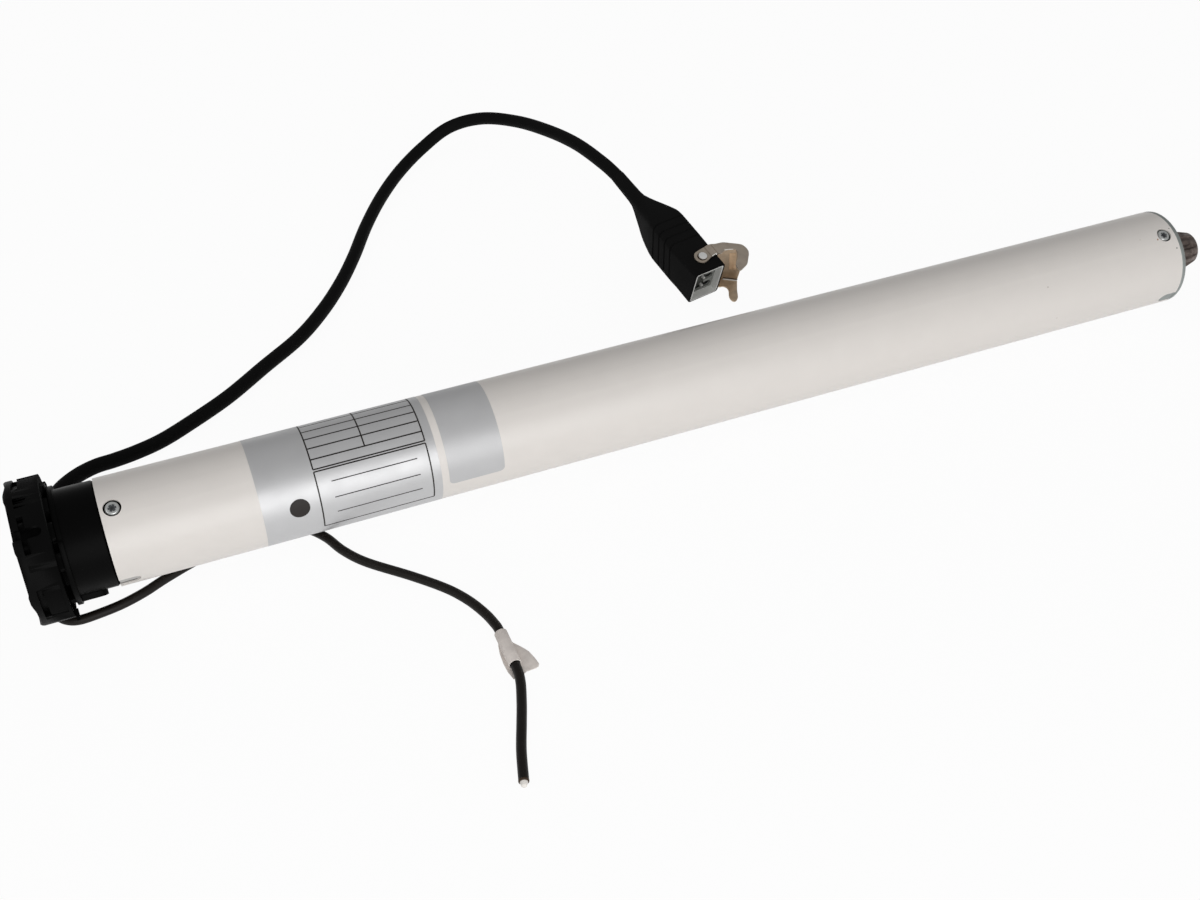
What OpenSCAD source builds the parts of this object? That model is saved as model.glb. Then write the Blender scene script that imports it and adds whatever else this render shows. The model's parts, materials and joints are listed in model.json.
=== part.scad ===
// Tubular motor for a roller blind, lying on a table with its two cords.
// Millimetres. The origin is the centre of the head's outer face on the motor axis,
// +X runs along the tube to the drive end and +Z is up.
// Angles round the axis start at -Y, the side that faces the viewer, and turn up through +Z.

/* [Tube] */
// Outer diameter of the motor tube
tube_d = 58; // [54:0.5:64]
// Length of the motor tube
tube_len = 654; // [640:1:760]
// Wall of the motor tube
tube_wall = 1.2; // [0.8:0.1:1.6]
// Angle of the screws at both ends of the tube
screw_angle = 66; // [50:1:80]
// Distance of the head screws from the tube's end
head_screw_in = 6.4; // [5.5:0.1:12]
// Distance of the flange screws from the tube's end
flange_screw_in = 7.2; // [5.5:0.1:12]
// Angle of the narrow key slot at the head end
slot_angle = -24.5; // [-40:0.5:0]
// Width of the narrow key slot
slot_w = 6; // [4:0.1:7]
// Length of the narrow key slot
slot_len = 10.8; // [8:0.1:16]
// Angle of the wide notch at the drive end
notch_angle = -25; // [-40:1:0]
// Width of the wide notch
notch_w = 8.4; // [6:0.1:12]
// Length of the wide notch
notch_len = 10.3; // [8:0.1:16]

/* [Head] */
// Diameter of the head's rim
head_d = 76; // [72:1:84]
// Length of the head, cover included
head_len = 20; // [18:0.5:26]
// Length of the front cover
cover_len = 7; // [5:0.5:9]
// Rounding of the cover's front edge, along the axis
edge_len = 4.3; // [2:0.1:4.8]
// Rounding of the cover's front edge, across the axis
edge_drop = 9; // [3:0.5:9]
// Diameter of the shallow dish in the cover
dish_d = 28; // [20:1:32]
// Diameter of the neck that carries the running ring
neck_d = 48; // [44:0.5:50]
// Diameter of the wire passage through neck and spigot
passage_d = 38; // [30:1:40]
// Length of the spigot inside the tube
spigot_len = 31; // [24:1:40]
// Gap between the head and the running ring, bridged by ribs
rib_gap = 2.6; // [2:0.1:5]
// Diameter over the ribs between head and running ring
rib_d = 62; // [54:1:64]
// Angle that each rib covers
rib_span = 18; // [10:1:22]
// Diameter over the wide rib at the top of the head's back
gusset_d = 67; // [62:1:72]
// Width of the rim's axial U-shaped recess
recess_w = 5.2; // [4:0.1:7]
// Depth of the recess
recess_depth = 4; // [2:0.1:5]
// Distance from the outer face to the recess's inner end
recess_len = 17.2; // [12:0.1:17.6]
// Distance from the outer face to the start of the full recess
recess_start = 4.5; // [3:0.1:6]
// Angle of the recess that faces the viewer
recess_angle = 57.5; // [50:0.5:62]
// Angle that each slot round the rim covers
rim_slot_span = 30; // [10:1:32]
// Width of the slots round the rim
rim_slot_w = 3; // [2:0.1:4]
// Depth of the slots round the rim
rim_slot_depth = 3.4; // [1:0.1:4]
// Depth of the flat pads on the rim
pad_depth = 0.7; // [0.3:0.1:1.2]
// Angle that each flat pad covers
pad_span = 33; // [28:1:36]
// Thickness of the flange at the back of the head
back_flange = 1.6; // [1.2:0.1:2.2]
// Pitch circle of the bracket bolts
bolt_pcd = 48; // [46:1:52]
// Tapped bore of the inserts for M6 bolts
insert_bore = 5; // [4.2:0.1:5.2]
// Outer diameter of the inserts
insert_d = 8; // [7.6:0.1:9]
// Length of the inserts, which stand flush with the outer face
insert_len = 17; // [14:0.5:17.5]

/* [Running ring] */
// Outer diameter of the running ring
ring_d = 56.6; // [53:0.1:57.6]
// Length of the running ring, flange included
ring_len = 22.1; // [18:0.1:30]
// Diameter of the running ring's flange
ring_flange_d = 61.2; // [59:0.1:64]
// Diameter over the flange's lobe
ring_lobe_d = 65; // [64:0.5:68]
// Thickness of the running ring's flange
ring_flange_t = 2.4; // [1.5:0.1:4]
// Height of the driving key over the ring
key_h = 2.8; // [1.5:0.1:4]
// Width of the driving key
key_w = 8; // [5:0.5:10]
// Length of the driving key
key_len = 13; // [8:0.5:16]
// Angle of the driving key
key_angle = -53.5; // [-90:0.5:0]

/* [Electronics] */
// Share of the electronics bay that the board carrier takes
carrier_share = 0.62; // [0.54:0.01:0.66]
// Wall of the board carrier
carrier_wall = 2; // [1.5:0.1:3]
// Width of the circuit board
board_w = 46; // [40:1:48]
// Thickness of the circuit board
board_t = 1.6; // [1:0.1:2.4]
// Diameter of the run capacitor
capacitor_d = 32; // [25:1:38]
// Share of the electronics bay that the run capacitor takes
capacitor_share = 0.19; // [0.15:0.01:0.22]

/* [Motor and brake] */
// Length of the stator's stack of laminations
stack_len = 90; // [70:1:100]
// Diameter of the rotor
rotor_d = 28; // [24:0.5:30]
// Air gap between rotor and stator
air_gap = 0.4; // [0.3:0.05:0.8]
// Number of stator slots
slots = 12; // [9:3:15]
// Length of each end winding
end_turns = 13; // [10:0.5:14]
// Diameter of the rotor shaft
rotor_shaft_d = 8; // [7:0.1:8]
// Outer diameter of the motor bearings
bearing_d = 22; // [19:1:24]
// Width of the motor bearings
bearing_w = 7; // [5:0.5:8]
// Length of the brake housing
brake_len = 34; // [30:1:40]
// Travel of the brake armature
brake_travel = 0.4; // [0.3:0.05:0.5]

/* [Gearbox] */
// Module of all the teeth
tooth_module = 0.85; // [0.82:0.01:0.87]
// Face width of the first planets
planet_w1 = 14; // [10:1:16]
// Face width of the second planets
planet_w2 = 17; // [12:1:20]
// Face width of the third planets
planet_w3 = 22; // [16:1:24]
// Thickness of the first two carrier plates
plate_t = 6; // [4:0.5:8]
// Thickness of the output carrier plate
output_plate_t = 8; // [6:0.5:10]
// Diameter of the planets' pins
planet_pin_d = 5; // [4:0.5:7]

/* [Drive end] */
// Diameter of the output shaft in its bush
shaft_d = 24; // [20:0.5:26]
// Diameter over the splines
spline_d = 23.6; // [18:0.2:26]
// Number of splines
splines = 12; // [10:1:24]
// Length of the shaft outside the tube
shaft_out = 28.5; // [26:0.5:45]
// Length of the splines' tapered lead-in
spline_lead = 7.5; // [4:0.5:9]
// Depth of the splines, and of their lead-in
spline_depth = 1.9; // [1:0.1:2.2]
// Wall of the shaft's bush
bush_wall = 3; // [2:0.5:4]
// Length of the flange inside the tube
flange_len = 36; // [28:1:44]
// Length of the flange's lip outside the tube
flange_lip = 2.6; // [1.5:0.1:4]
// Tapped bore in the shaft's end for an M6 screw
end_bore = 5; // [4:0.1:6]
// Depth of the tapped bore
end_bore_len = 22; // [15:1:28]

/* [Mains cord and plug] */
// Diameter of the mains cord
cord_d = 8.4; // [7.8:0.1:8.6]
// Angle at which the mains cord leaves the head
cord_angle = 205; // [200:1:210]
// Length of the boot outside the head
boot_len = 20; // [20:0.5:24]
// Width of the plug
plug_w = 21.9; // [20.5:0.1:23]
// Height of the plug
plug_h = 26.4; // [24:0.1:29]
// Length of the plug's straight part
plug_len = 48; // [44:1:54]
// Length of the plug's tapered neck
plug_neck = 32; // [26:0.5:38]
// Diameter at the end of the plug's neck
plug_neck_d = 12; // [11:0.2:13]
// Length of the sleeve behind the neck
plug_tail = 24; // [18:1:30]
// Wall round the plug's mouth
plug_wall = 1.75; // [1.5:0.05:2.2]
// Depth of the plug's mouth
mouth_depth = 28; // [26:0.5:32]
// Wall of the pale lining in the mouth
liner_wall = 1; // [0.8:0.1:1.4]
// Turn of the plug about the upright
plug_turn = 12.5; // [10:0.5:15]
// Rise of the plug towards its cord
plug_pitch = 15; // [12:0.5:17]
// Lean of the grip ribs on the plug's sides
rib_lean = 15; // [0:1:18]
// Distance of the bail's pivot from the mouth
pivot_in = 10.9; // [10:0.1:12]
// Thickness of the bail's sheet
bail_t = 1; // [0.8:0.1:1.1]
// Diameter of the bail's rivets
rivet_d = 3.6; // [3:0.1:4]
// Width of the bail's arms
bail_w = 7.2; // [6.8:0.1:7.6]

/* [Aerial] */
// Diameter of the aerial lead
lead_d = 5.2; // [5:0.05:5.3]
// Angle at which the aerial lead leaves the head
lead_angle = -63.5; // [-65:0.5:-62]
// Length of the bare core at the lead's end
core_len = 2.6; // [2:0.1:8]
// Diameter of the bare core
core_d = 2.6; // [2:0.1:3]
// Length of the paper sleeve along the lead
tag_len = 22; // [18:1:23]
// Reach of the paper flag beside the lead
tag_reach = 12; // [10:0.5:14]

/* [Hidden] */
$fn = 96;

// Clearances
eps = 0.05;
run_fit = 0.06;
slip_fit = 0.2;
body_gap = 0.3;
stage_gap = 0.7;

// Colours as the photograph shows them, and plain ones inside
black_plastic = "#171717";
black_rubber = "#1d1c1b";
white_paint = "#e3e0dc";
zinc_plate = "#9aa3a8";
die_cast = "#6b7a7a";
dark_steel = "#4a413c";
steel = "#8d9298";
bronze_sheet = "#9a8168";
copper = "#a8683c";
board_green = "#2f5d43";
pale_plastic = "#b9bcb8";
paper = "#cfc6c0";

// Radii and stations along the axis
tube_r = tube_d / 2;
bore_r = tube_r - tube_wall;
head_r = head_d / 2;
neck_r = neck_d / 2;
inner_r = bore_r - slip_fit;
ring_x = head_len + rib_gap;
tube_x = ring_x + ring_len + body_gap;
tube_end = tube_x + tube_len;
spigot_end = tube_x + spigot_len;
head_screw_x = tube_x + head_screw_in;
flange_screw_x = tube_end - flange_screw_in;
flange_x = tube_end - flange_len;
shaft_end = tube_end + shaft_out;

// Planetary stages, each with the same tooth counts
sun_teeth = 12;
planet_teeth = 21;
ring_teeth = 54;
pressure_angle = 25;
addendum = 0.8;
dedendum = 1;
thinning = 0.07;
sun_r = tooth_module * sun_teeth / 2;
planet_r = tooth_module * planet_teeth / 2;
ring_pitch_r = tooth_module * ring_teeth / 2;
orbit_r = sun_r + planet_r;
plate_r = ring_pitch_r - addendum * tooth_module - 1;
sun_core_r = sun_r - dedendum * tooth_module - 0.2;
output_plate_x = flange_x - stage_gap - output_plate_t;
stage3_x = output_plate_x - stage_gap - planet_w3;
carrier2_x = stage3_x - stage_gap - plate_t;
stage2_x = carrier2_x - stage_gap - planet_w2;
carrier1_x = stage2_x - stage_gap - plate_t;
stage1_x = carrier1_x - stage_gap - planet_w1;
ring_gear_x = stage1_x - stage_gap;
gearbox_plate_t = 9;
gearbox_plate_x = ring_gear_x - gearbox_plate_t;

// Motor and brake, built back from the gearbox
shield_t = 12;
rear_shield_x = gearbox_plate_x - shield_t;
stack_end = rear_shield_x - end_turns - stage_gap;
stack_x = stack_end - stack_len;
front_shield_x = stack_x - end_turns - stage_gap - shield_t;
brake_x = front_shield_x - brake_len;
rotor_shaft_r = rotor_shaft_d / 2;
brake_wall = 2.2;
disc_x = brake_x + brake_wall + 1;
disc_t = 4;
armature_t = 5;
armature_x = disc_x + disc_t + body_gap;
coil_x = armature_x + armature_t + 2 * brake_travel;
rotor_x = disc_x;

// Electronics, built on from the head
carrier_x = spigot_end;
bay_len = brake_x - carrier_x;
carrier_len = bay_len * carrier_share;
capacitor_len = bay_len * capacitor_share;
carrier_r = inner_r - 0.3;
carrier_ring = 4;
board_top = -0.4;
board_x = carrier_x + carrier_ring + body_gap;
board_len = carrier_len - 2 * carrier_ring - 2 * body_gap;
capacitor_x = carrier_x + carrier_len + 8;

// The plane that the part lies on: it touches the head's rim and the tube's far end
rest_x = head_len;
rest_slope = (head_r - tube_r) / (tube_end - rest_x);
function rest_z(x) = -head_r + rest_slope * (x - rest_x);
function lying(p) = [p[0], p[1], rest_z(p[0]) + p[2]];
function around(a, r, x) = [x, -r * cos(a), r * sin(a)];

// Head details that repeat round the rim
rib_pitch = 30;
rib_start = 26.5;
rib_gaps = 120;
pad_angles = [-3.5, 116.5, 236.5];
rim_slot_angles = [for (i = [0 : 5]) -3.5 + 60 * i];
insert_angles = [for (i = [0 : 3]) 70 + 90 * i];
tab_angle = -47;
tab_span = 9;
tab_r = head_r + 2;
gusset_angle = 130;
gusset_span = 40;
bump_angles = [44.5, 47, 49.5];
bump_h = 0.4;
lobe_angle = -22;
lobe_span = 134;

// Cord outlets in the head
cord_r = cord_d / 2;
outlet_x = (cover_len + head_len) / 2 + 1;
boot_root_r = 5.2;
boot_collar_r = 6.2;
boot_tip_r = cord_r + 0.7;
boot_seat = 34;
boot_end = around(cord_angle, head_r + body_gap + boot_len, outlet_x);
boot_way = around(cord_angle, 1, 0);
lead_r = lead_d / 2;
channel_w = lead_d + 1.4;
channel_x = cover_len + 0.6;
grommet_len = 3.2;
grommet_bed = 32;
lead_start = around(lead_angle, head_r - 1.6, channel_x + 1.8);

// Plug, resting on the tongue of its bail and rising to its cord
plug_x = 433;
plug_y = 101.7;
plug_lift = 5;
plug_mid = plug_h / 2;
plug_rest = rest_z(plug_x) + plug_lift;
plug_back = plug_len + plug_neck + plug_tail;
function on_plug(p) = let(
    back = p[1] * cos(plug_pitch) - p[2] * sin(plug_pitch),
    up = p[1] * sin(plug_pitch) + p[2] * cos(plug_pitch))
    [plug_x + p[0] * cos(plug_turn) - back * sin(plug_turn),
    plug_y + p[0] * sin(plug_turn) + back * cos(plug_turn), plug_rest + up];

// Route of the mains cord between boot and plug: x, y and height over the table
cord_route = [[16.4, 67.5, 7.2], [20.9, 76.2, 5], [27.6, 83.6, 4.3], [36.3, 89.2, 4.2], [46, 92.4, 4.2],
    [56, 93.2, 4.2], [69, 95.2, 4.2], [84, 99.4, 4.2], [101, 107.6, 4.2], [128, 123, 4.2], [155, 143, 4.2],
    [182, 163, 4.2], [203, 185, 4.2], [221, 209, 4.2], [237, 235, 4.2], [254, 266, 4.2], [273, 295.5, 4.4],
    [294.3, 321, 6], [317.5, 338.5, 10], [340, 343, 17], [361, 331, 26], [379, 305.5, 35.5], [392, 274.5, 43],
    [401, 242, 48]];
cord_points = concat(
    [boot_end, boot_end + 7 * boot_way],
    [for (p = cord_route) lying(p)],
    [on_plug([0, plug_back + 16, plug_mid]), on_plug([0, plug_back, plug_mid])]);

// Route of the aerial lead from its grommet, under the tube and out in front
lead_route = [[11.4, -17.4, 4.4], [14.2, -19.3, 3.2], [18.2, -20.9, 2.7], [24, -21.3, 2.6], [37, -19.8, 2.6],
    [46, -17.8, 2.6], [56, -14.3, 2.6], [68, -8.8, 2.6], [88, -1.2, 2.6], [110, 5, 2.6], [124, 6.5, 2.6],
    [137, 4, 2.6], [147, -3.5, 2.6], [154, -13, 2.6], [160, -26, 2.6], [169.5, -39.3, 2.6], [189, -58.3, 2.6],
    [203, -73.5, 2.6], [211, -85.5, 2.6], [216, -97, 2.8], [218.5, -106.5, 3.2], [219.3, -114, 3.4],
    [219.3, -137, 3.4], [218.3, -147, 3.2], [214.6, -160, 2.6], [210.8, -171.8, 2.6], [205.9, -186.8, 2.6],
    [201.2, -202.6, 2.6]];
lead_points = concat([lead_start], [for (p = lead_route) lying(p)]);
lead_way = unit(lead_points[1] - lead_start);
lead_end = lead_points[len(lead_points) - 1];
lead_turn = atan2(lead_end[1] - lead_points[len(lead_points) - 2][1],
    lead_end[0] - lead_points[len(lead_points) - 2][0]);
tag_lift = 3.4;
tag_mid = lying([219.3, -125.5, tag_lift]);

// Helpers for round work on the motor axis
module along_x(x) translate([x, 0, 0]) rotate([0, 90, 0]) children();
module rod(x, len, r) along_x(x) cylinder(h = len, r = r);
module pipe(x, len, outer, inner) along_x(x) difference() {
    cylinder(h = len, r = outer);
    translate([0, 0, -eps]) cylinder(h = len + 2 * eps, r = inner);
}
module at_angle(a) rotate([90 - a, 0, 0]) children();
module radial_hole(x, a, r, from, to) at_angle(a) translate([x, 0, from]) cylinder(h = to - from, r = r);

// A slot with one round end that runs along +X from x, cut through r_in to r_out
module end_slot(x, len, w, r_in, r_out) translate([x, 0, r_in]) {
    translate([0, -w / 2, 0]) cube([len - w / 2, w, r_out - r_in]);
    translate([len - w / 2, 0, 0]) cylinder(h = r_out - r_in, d = w);
}

// A wedge about the axis from x, span degrees wide and centred on angle a
module wedge(x, len, span, r, a) at_angle(a) rotate([0, 90, 0]) translate([0, 0, x])
    linear_extrude(len) polygon([[0, 0], [-r, r * tan(span / 2)], [-r, -r * tan(span / 2)]]);

// A ring sector between two radii
module sector(x, len, r_in, r_out, span, a) intersection() {
    pipe(x, len, r_out, r_in);
    wedge(x - eps, len + 2 * eps, span, 2 * r_out, a);
}

module rounded_rect(w, h, r) {
    square([w - 2 * r, h], center = true);
    square([w, h - 2 * r], center = true);
    for (sx = [-1, 1], sy = [-1, 1]) translate([sx * (w / 2 - r), sy * (h / 2 - r)]) circle(r);
}

// A flat ribbon of width w along a chain of points
function across(a, b) = let(d = (b - a) / norm(b - a)) [-d[1], d[0]];
function ribbon_edge(p, i, w) = let(
    n = len(p) - 1,
    before = across(p[max(i, 1) - 1], p[max(i, 1)]),
    after = across(p[min(i, n - 1)], p[min(i, n - 1) + 1]),
    mid = (before + after) / norm(before + after))
    p[i] + mid * w / 2 / (mid * before);
module ribbon(p, w) polygon(concat(
    [for (i = [0 : len(p) - 1]) ribbon_edge(p, i, w)],
    [for (i = [len(p) - 1 : -1 : 0]) ribbon_edge(p, i, -w)]));

// Involute teeth, centred on a tooth. extra thickens each tooth at the pitch circle
function involute(a) = tan(a) * 180 / PI - a;
function half_tooth(z, r, base, extra) = 90 / z + extra / (tooth_module * z) * 180 / PI
    + involute(pressure_angle) - involute(acos(min(1, base / r)));
function polar(r, a) = [r * cos(a), r * sin(a)];
function tooth(z, root, tip, extra, turn) = let(
    base = tooth_module * z / 2 * cos(pressure_angle),
    low = max(root, base * 1.001),
    mid = (low + tip) / 2,
    flank = [[root, half_tooth(z, low, base, extra)], [low, half_tooth(z, low, base, extra)],
        [mid, half_tooth(z, mid, base, extra)], [tip, half_tooth(z, tip, base, extra)]],
    used = root < low - 0.01 ? flank : [flank[1], flank[2], flank[3]],
    n = len(used))
    concat([for (i = [0 : n - 1]) polar(used[i][0], turn - used[i][1])],
        [for (i = [n - 1 : -1 : 0]) polar(used[i][0], turn + used[i][1])]);
module teeth(z, root, tip, extra)
    polygon([for (k = [0 : z - 1]) each tooth(z, root, tip, extra, 360 * k / z)]);
module external_teeth(z) teeth(z, tooth_module * (z / 2 - dedendum), tooth_module * (z / 2 + addendum), -thinning);
module internal_teeth(z) teeth(z, tooth_module * (z / 2 - addendum), tooth_module * (z / 2 + dedendum), thinning);

// A cord: rings of n points swept along a smooth curve through its route
function smooth_point(p, i, t) = let(
    a = p[max(i - 1, 0)], b = p[i], c = p[i + 1], d = p[min(i + 2, len(p) - 1)])
    0.5 * (2 * b + (c - a) * t + (2 * a - 5 * b + 4 * c - d) * t * t
        + (3 * b - a - 3 * c + d) * t * t * t);
function smooth_route(p, steps) = concat(
    [for (i = [0 : len(p) - 2], k = [0 : steps - 1]) smooth_point(p, i, k / steps)], [p[len(p) - 1]]);
function unit(v) = v / norm(v);
function heading(p, i) = unit(p[min(i + 1, len(p) - 1)] - p[max(i - 1, 0)]);
function cord_ring(p, i, r, n) = let(
    t = heading(p, i), side = unit(cross(t, [0, 0, 1])), up = cross(side, t))
    [for (k = [0 : n - 1]) p[i] + r * (cos(360 * k / n) * side + sin(360 * k / n) * up)];
function route_length(p) = [for (i = [0 : len(p) - 2]) norm(p[i + 1] - p[i])]
    * [for (i = [0 : len(p) - 2]) 1];
module swept_cord(p, r, n) {
    last = len(p) - 1;
    polyhedron(
        points = [for (i = [0 : last]) each cord_ring(p, i, r, n)],
        faces = concat(
            [for (k = [1 : n - 2]) [0, k, k + 1]],
            [for (k = [1 : n - 2]) [last * n, last * n + k + 1, last * n + k]],
            [for (i = [0 : last - 1], k = [0 : n - 1])
                [i * n + k, (i + 1) * n + k, (i + 1) * n + (k + 1) % n]],
            [for (i = [0 : last - 1], k = [0 : n - 1])
                [i * n + k, (i + 1) * n + (k + 1) % n, i * n + (k + 1) % n]]));
}

// Head: rim body, ribs, neck and spigot in one moulding
module motor_head() color(black_plastic) {
    difference() {
        union() {
            rod(cover_len, head_len - cover_len, head_r);
            rod(head_len - eps, tube_x - head_len + 2 * eps, neck_r);
            rod(tube_x, spigot_len, inner_r);
            for (a = [rib_start : rib_pitch : rib_start + 330])
                if ((a - pad_angles[0]) % rib_gaps != 0)
                    sector(head_len - eps, rib_gap - body_gap + eps, neck_r - 1, rib_d / 2, rib_span, a);
            sector(head_len - eps, rib_gap - body_gap + eps, neck_r - 1, gusset_d / 2, gusset_span, gusset_angle);
            for (a = bump_angles)
                sector(cover_len + 0.6, rim_slot_w - 0.4, head_r - 1, head_r + bump_h, 1.4, a);
            for (a = [slot_angle, slot_angle + 180])
                at_angle(a) end_slot(tube_x, slot_len - slip_fit, slot_w - 2 * slip_fit, inner_r - 1, inner_r + 0.6);
            sector(head_len - eps, back_flange, head_r - 4, tab_r, tab_span, tab_angle);
        }
        rod(cover_len + 4, spigot_end, passage_d / 2);
        for (a = rim_slot_angles)
            sector(cover_len - eps, rim_slot_w + eps, head_r - rim_slot_depth, head_r + 1, rim_slot_span, a);
        for (a = pad_angles)
            sector(cover_len + rim_slot_w, head_len - back_flange - cover_len - rim_slot_w,
                head_r - pad_depth, head_r + 1, pad_span, a);
        at_angle(recess_angle)
            end_slot(recess_start, recess_len - recess_start, recess_w, head_r - recess_depth, head_r + 3);
        for (a = insert_angles)
            at_angle(a) translate([cover_len - eps, 0, bolt_pcd / 2]) rotate([0, 90, 0])
                cylinder(h = insert_len - cover_len + eps, r = insert_d / 2 + eps);
        radial_hole(outlet_x, cord_angle, boot_root_r + eps, passage_d / 2 - 3, head_r + 1);
        at_angle(lead_angle) translate([channel_x, -channel_w / 2, grommet_bed])
            cube([head_len, channel_w, head_r]);
        radial_hole(channel_x + grommet_len / 2 + 0.5, lead_angle, lead_r, passage_d / 2 - 3, grommet_bed + 1);
        for (a = [screw_angle, screw_angle + 180]) screw_cut(head_screw_x, a);
    }
}

// Front cover with the rounded edge, its dish and the holes for the bracket bolts
edge_notch = 3;
module head_cover() color(black_plastic) {
    difference() {
        along_x(0) rotate_extrude() polygon(concat(
            [[0, 0]],
            [for (t = [0 : 15 : 90]) [head_r - edge_drop * (1 - sin(t)), edge_len * (1 - cos(t))]],
            [[head_r, cover_len], [0, cover_len]]));
        rod(-eps, 1.2 + eps, dish_d / 2);
        for (a = insert_angles)
            at_angle(a) translate([-eps, 0, bolt_pcd / 2]) rotate([0, 90, 0])
                cylinder(h = cover_len + 2 * eps, r = insert_d / 2 + eps);
        for (a = [recess_angle : 120 : recess_angle + 240]) at_angle(a) {
            translate([recess_start, -recess_w / 2, head_r - recess_depth])
                cube([cover_len, recess_w, recess_depth + 3]);
            translate([-eps, -recess_w / 2, head_r - edge_notch])
                cube([cover_len, recess_w, edge_notch + 3]);
        }
    }
}

module head_inserts() color(bronze_sheet)
    for (a = insert_angles)
        at_angle(a) translate([0, 0, bolt_pcd / 2]) pipe(0, insert_len, insert_d / 2, insert_bore / 2);

// Countersink seat and thread hole under a radial screw
screw_head_r = 3.7;
screw_hole_r = 4.6;
screw_r = 2;
screw_seat = inner_r - 1.4;
module screw_cut(x, a) {
    radial_hole(x, a, screw_r + eps, passage_d / 2 - 3, screw_seat + eps);
    radial_hole(x, a, screw_hole_r, screw_seat, tube_r + 1);
}
module radial_screw(x, a) at_angle(a) translate([x, 0, screw_seat]) difference() {
    union() {
        cylinder(h = tube_r - 0.8 - screw_seat, r = screw_head_r);
        translate([0, 0, tube_r - 0.8 - screw_seat - eps])
            cylinder(h = 0.5 + eps, r1 = screw_head_r, r2 = screw_head_r - 0.6);
        translate([0, 0, -6]) cylinder(h = 6 + eps, r = screw_r);
    }
    translate([0, 0, tube_r - 1.5 - screw_seat]) cylinder(h = 2, r = 1.6, $fn = 6);
}
module head_screws() color(zinc_plate)
    for (a = [screw_angle, screw_angle + 180]) radial_screw(head_screw_x, a);
module flange_screws() color(zinc_plate)
    for (a = [screw_angle, screw_angle + 180]) radial_screw(flange_screw_x, a);

// Running ring on the head's neck, with the key that drives the blind's roller
module running_ring() color(black_plastic) {
    difference() {
        union() {
            rod(ring_x, ring_flange_t, ring_flange_d / 2);
            sector(ring_x, ring_flange_t, ring_d / 2 - 1, ring_lobe_d / 2, lobe_span, lobe_angle);
            rod(ring_x, ring_len - 0.8, ring_d / 2);
            along_x(ring_x + ring_len - 0.8) cylinder(h = 0.8, r1 = ring_d / 2, r2 = ring_d / 2 - 0.8);
            at_angle(key_angle) end_slot(ring_x + eps, ring_flange_t + key_len, key_w, ring_d / 2 - 1.5, ring_d / 2 + key_h);
        }
        rod(ring_x - eps, ring_len + 2 * eps, neck_r + run_fit);
    }
}

module tube() color(white_paint) {
    difference() {
        pipe(tube_x, tube_len, tube_r, bore_r);
        for (a = [0, 180]) {
            radial_hole(head_screw_x, screw_angle + a, screw_hole_r, bore_r - 3, tube_r + 1);
            radial_hole(flange_screw_x, screw_angle + a, screw_hole_r, bore_r - 3, tube_r + 1);
            at_angle(slot_angle + a) end_slot(tube_x - eps, slot_len + eps, slot_w, bore_r - 3, tube_r + 1);
            at_angle(notch_angle + a) translate([tube_end, 0, 0]) mirror([1, 0, 0])
                end_slot(-eps, notch_len + eps, notch_w, bore_r - 3, tube_r + 1);
        }
    }
}

// Trough that holds the circuit board, with a ring at each end
module board_carrier() color(black_plastic) {
    difference() {
        union() {
            difference() {
                pipe(carrier_x, carrier_len, carrier_r, carrier_r - carrier_wall);
                translate([carrier_x + carrier_ring, -carrier_r, board_top - board_t])
                    cube([carrier_len - 2 * carrier_ring, 2 * carrier_r, 2 * carrier_r]);
            }
            for (x = [carrier_x, carrier_x + carrier_len - carrier_ring])
                pipe(x, carrier_ring, carrier_r, passage_d / 2);
            intersection() {
                rod(carrier_x, carrier_len, carrier_r - carrier_wall / 2);
                for (s = [-1, 1])
                    translate([carrier_x, s * board_w / 2 - 2.5, board_top - board_t - 3])
                        cube([carrier_len, 5, 3]);
            }
        }
        for (x = [carrier_x + 40 : 40 : carrier_x + carrier_len - 30])
            translate([x, 0, -carrier_r]) cylinder(h = 10, r = 8, center = true);
    }
}

module circuit_board() color(board_green)
    translate([board_x, -board_w / 2, board_top - board_t]) cube([board_len, board_w, board_t]);

module terminal_block() color(pale_plastic)
    translate([board_x + 6, -14, board_top]) difference() {
        cube([11, 28, 11]);
        for (i = [0 : 3]) translate([-eps, 3.5 + 7 * i, 4]) rotate([0, 90, 0]) cylinder(h = 8, r = 1.7);
        for (i = [0 : 3]) translate([5.5, 3.5 + 7 * i, 7]) cylinder(h = 5, r = 1.8);
    }

module relays() color("#22384f")
    for (y = [-15, 2]) translate([board_x + 95, y, board_top]) {
        cube([28, 12.5, 13]);
        translate([1, 1, 13 - eps]) cube([26, 10.5, 1.5]);
    }

module supply_transformer() color("#3a3a36")
    translate([board_x + 45, -13, board_top]) {
        cube([30, 26, 4]);
        translate([3, 3, 4 - eps]) cube([24, 20, 13]);
        translate([9, 0, 6]) cube([12, 26, 9]);
    }

module radio_module() color("#b3b7b4")
    translate([board_x + 22, -15, board_top]) {
        for (x = [0, 14], y = [0, 26]) translate([x, y, 0]) cube([2, 2, 3]);
        translate([-1, -1, 3 - eps]) cube([18, 30, 1.2]);
        translate([2, 5, 4.2 - 2 * eps]) cube([12, 18, 3]);
    }

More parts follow.
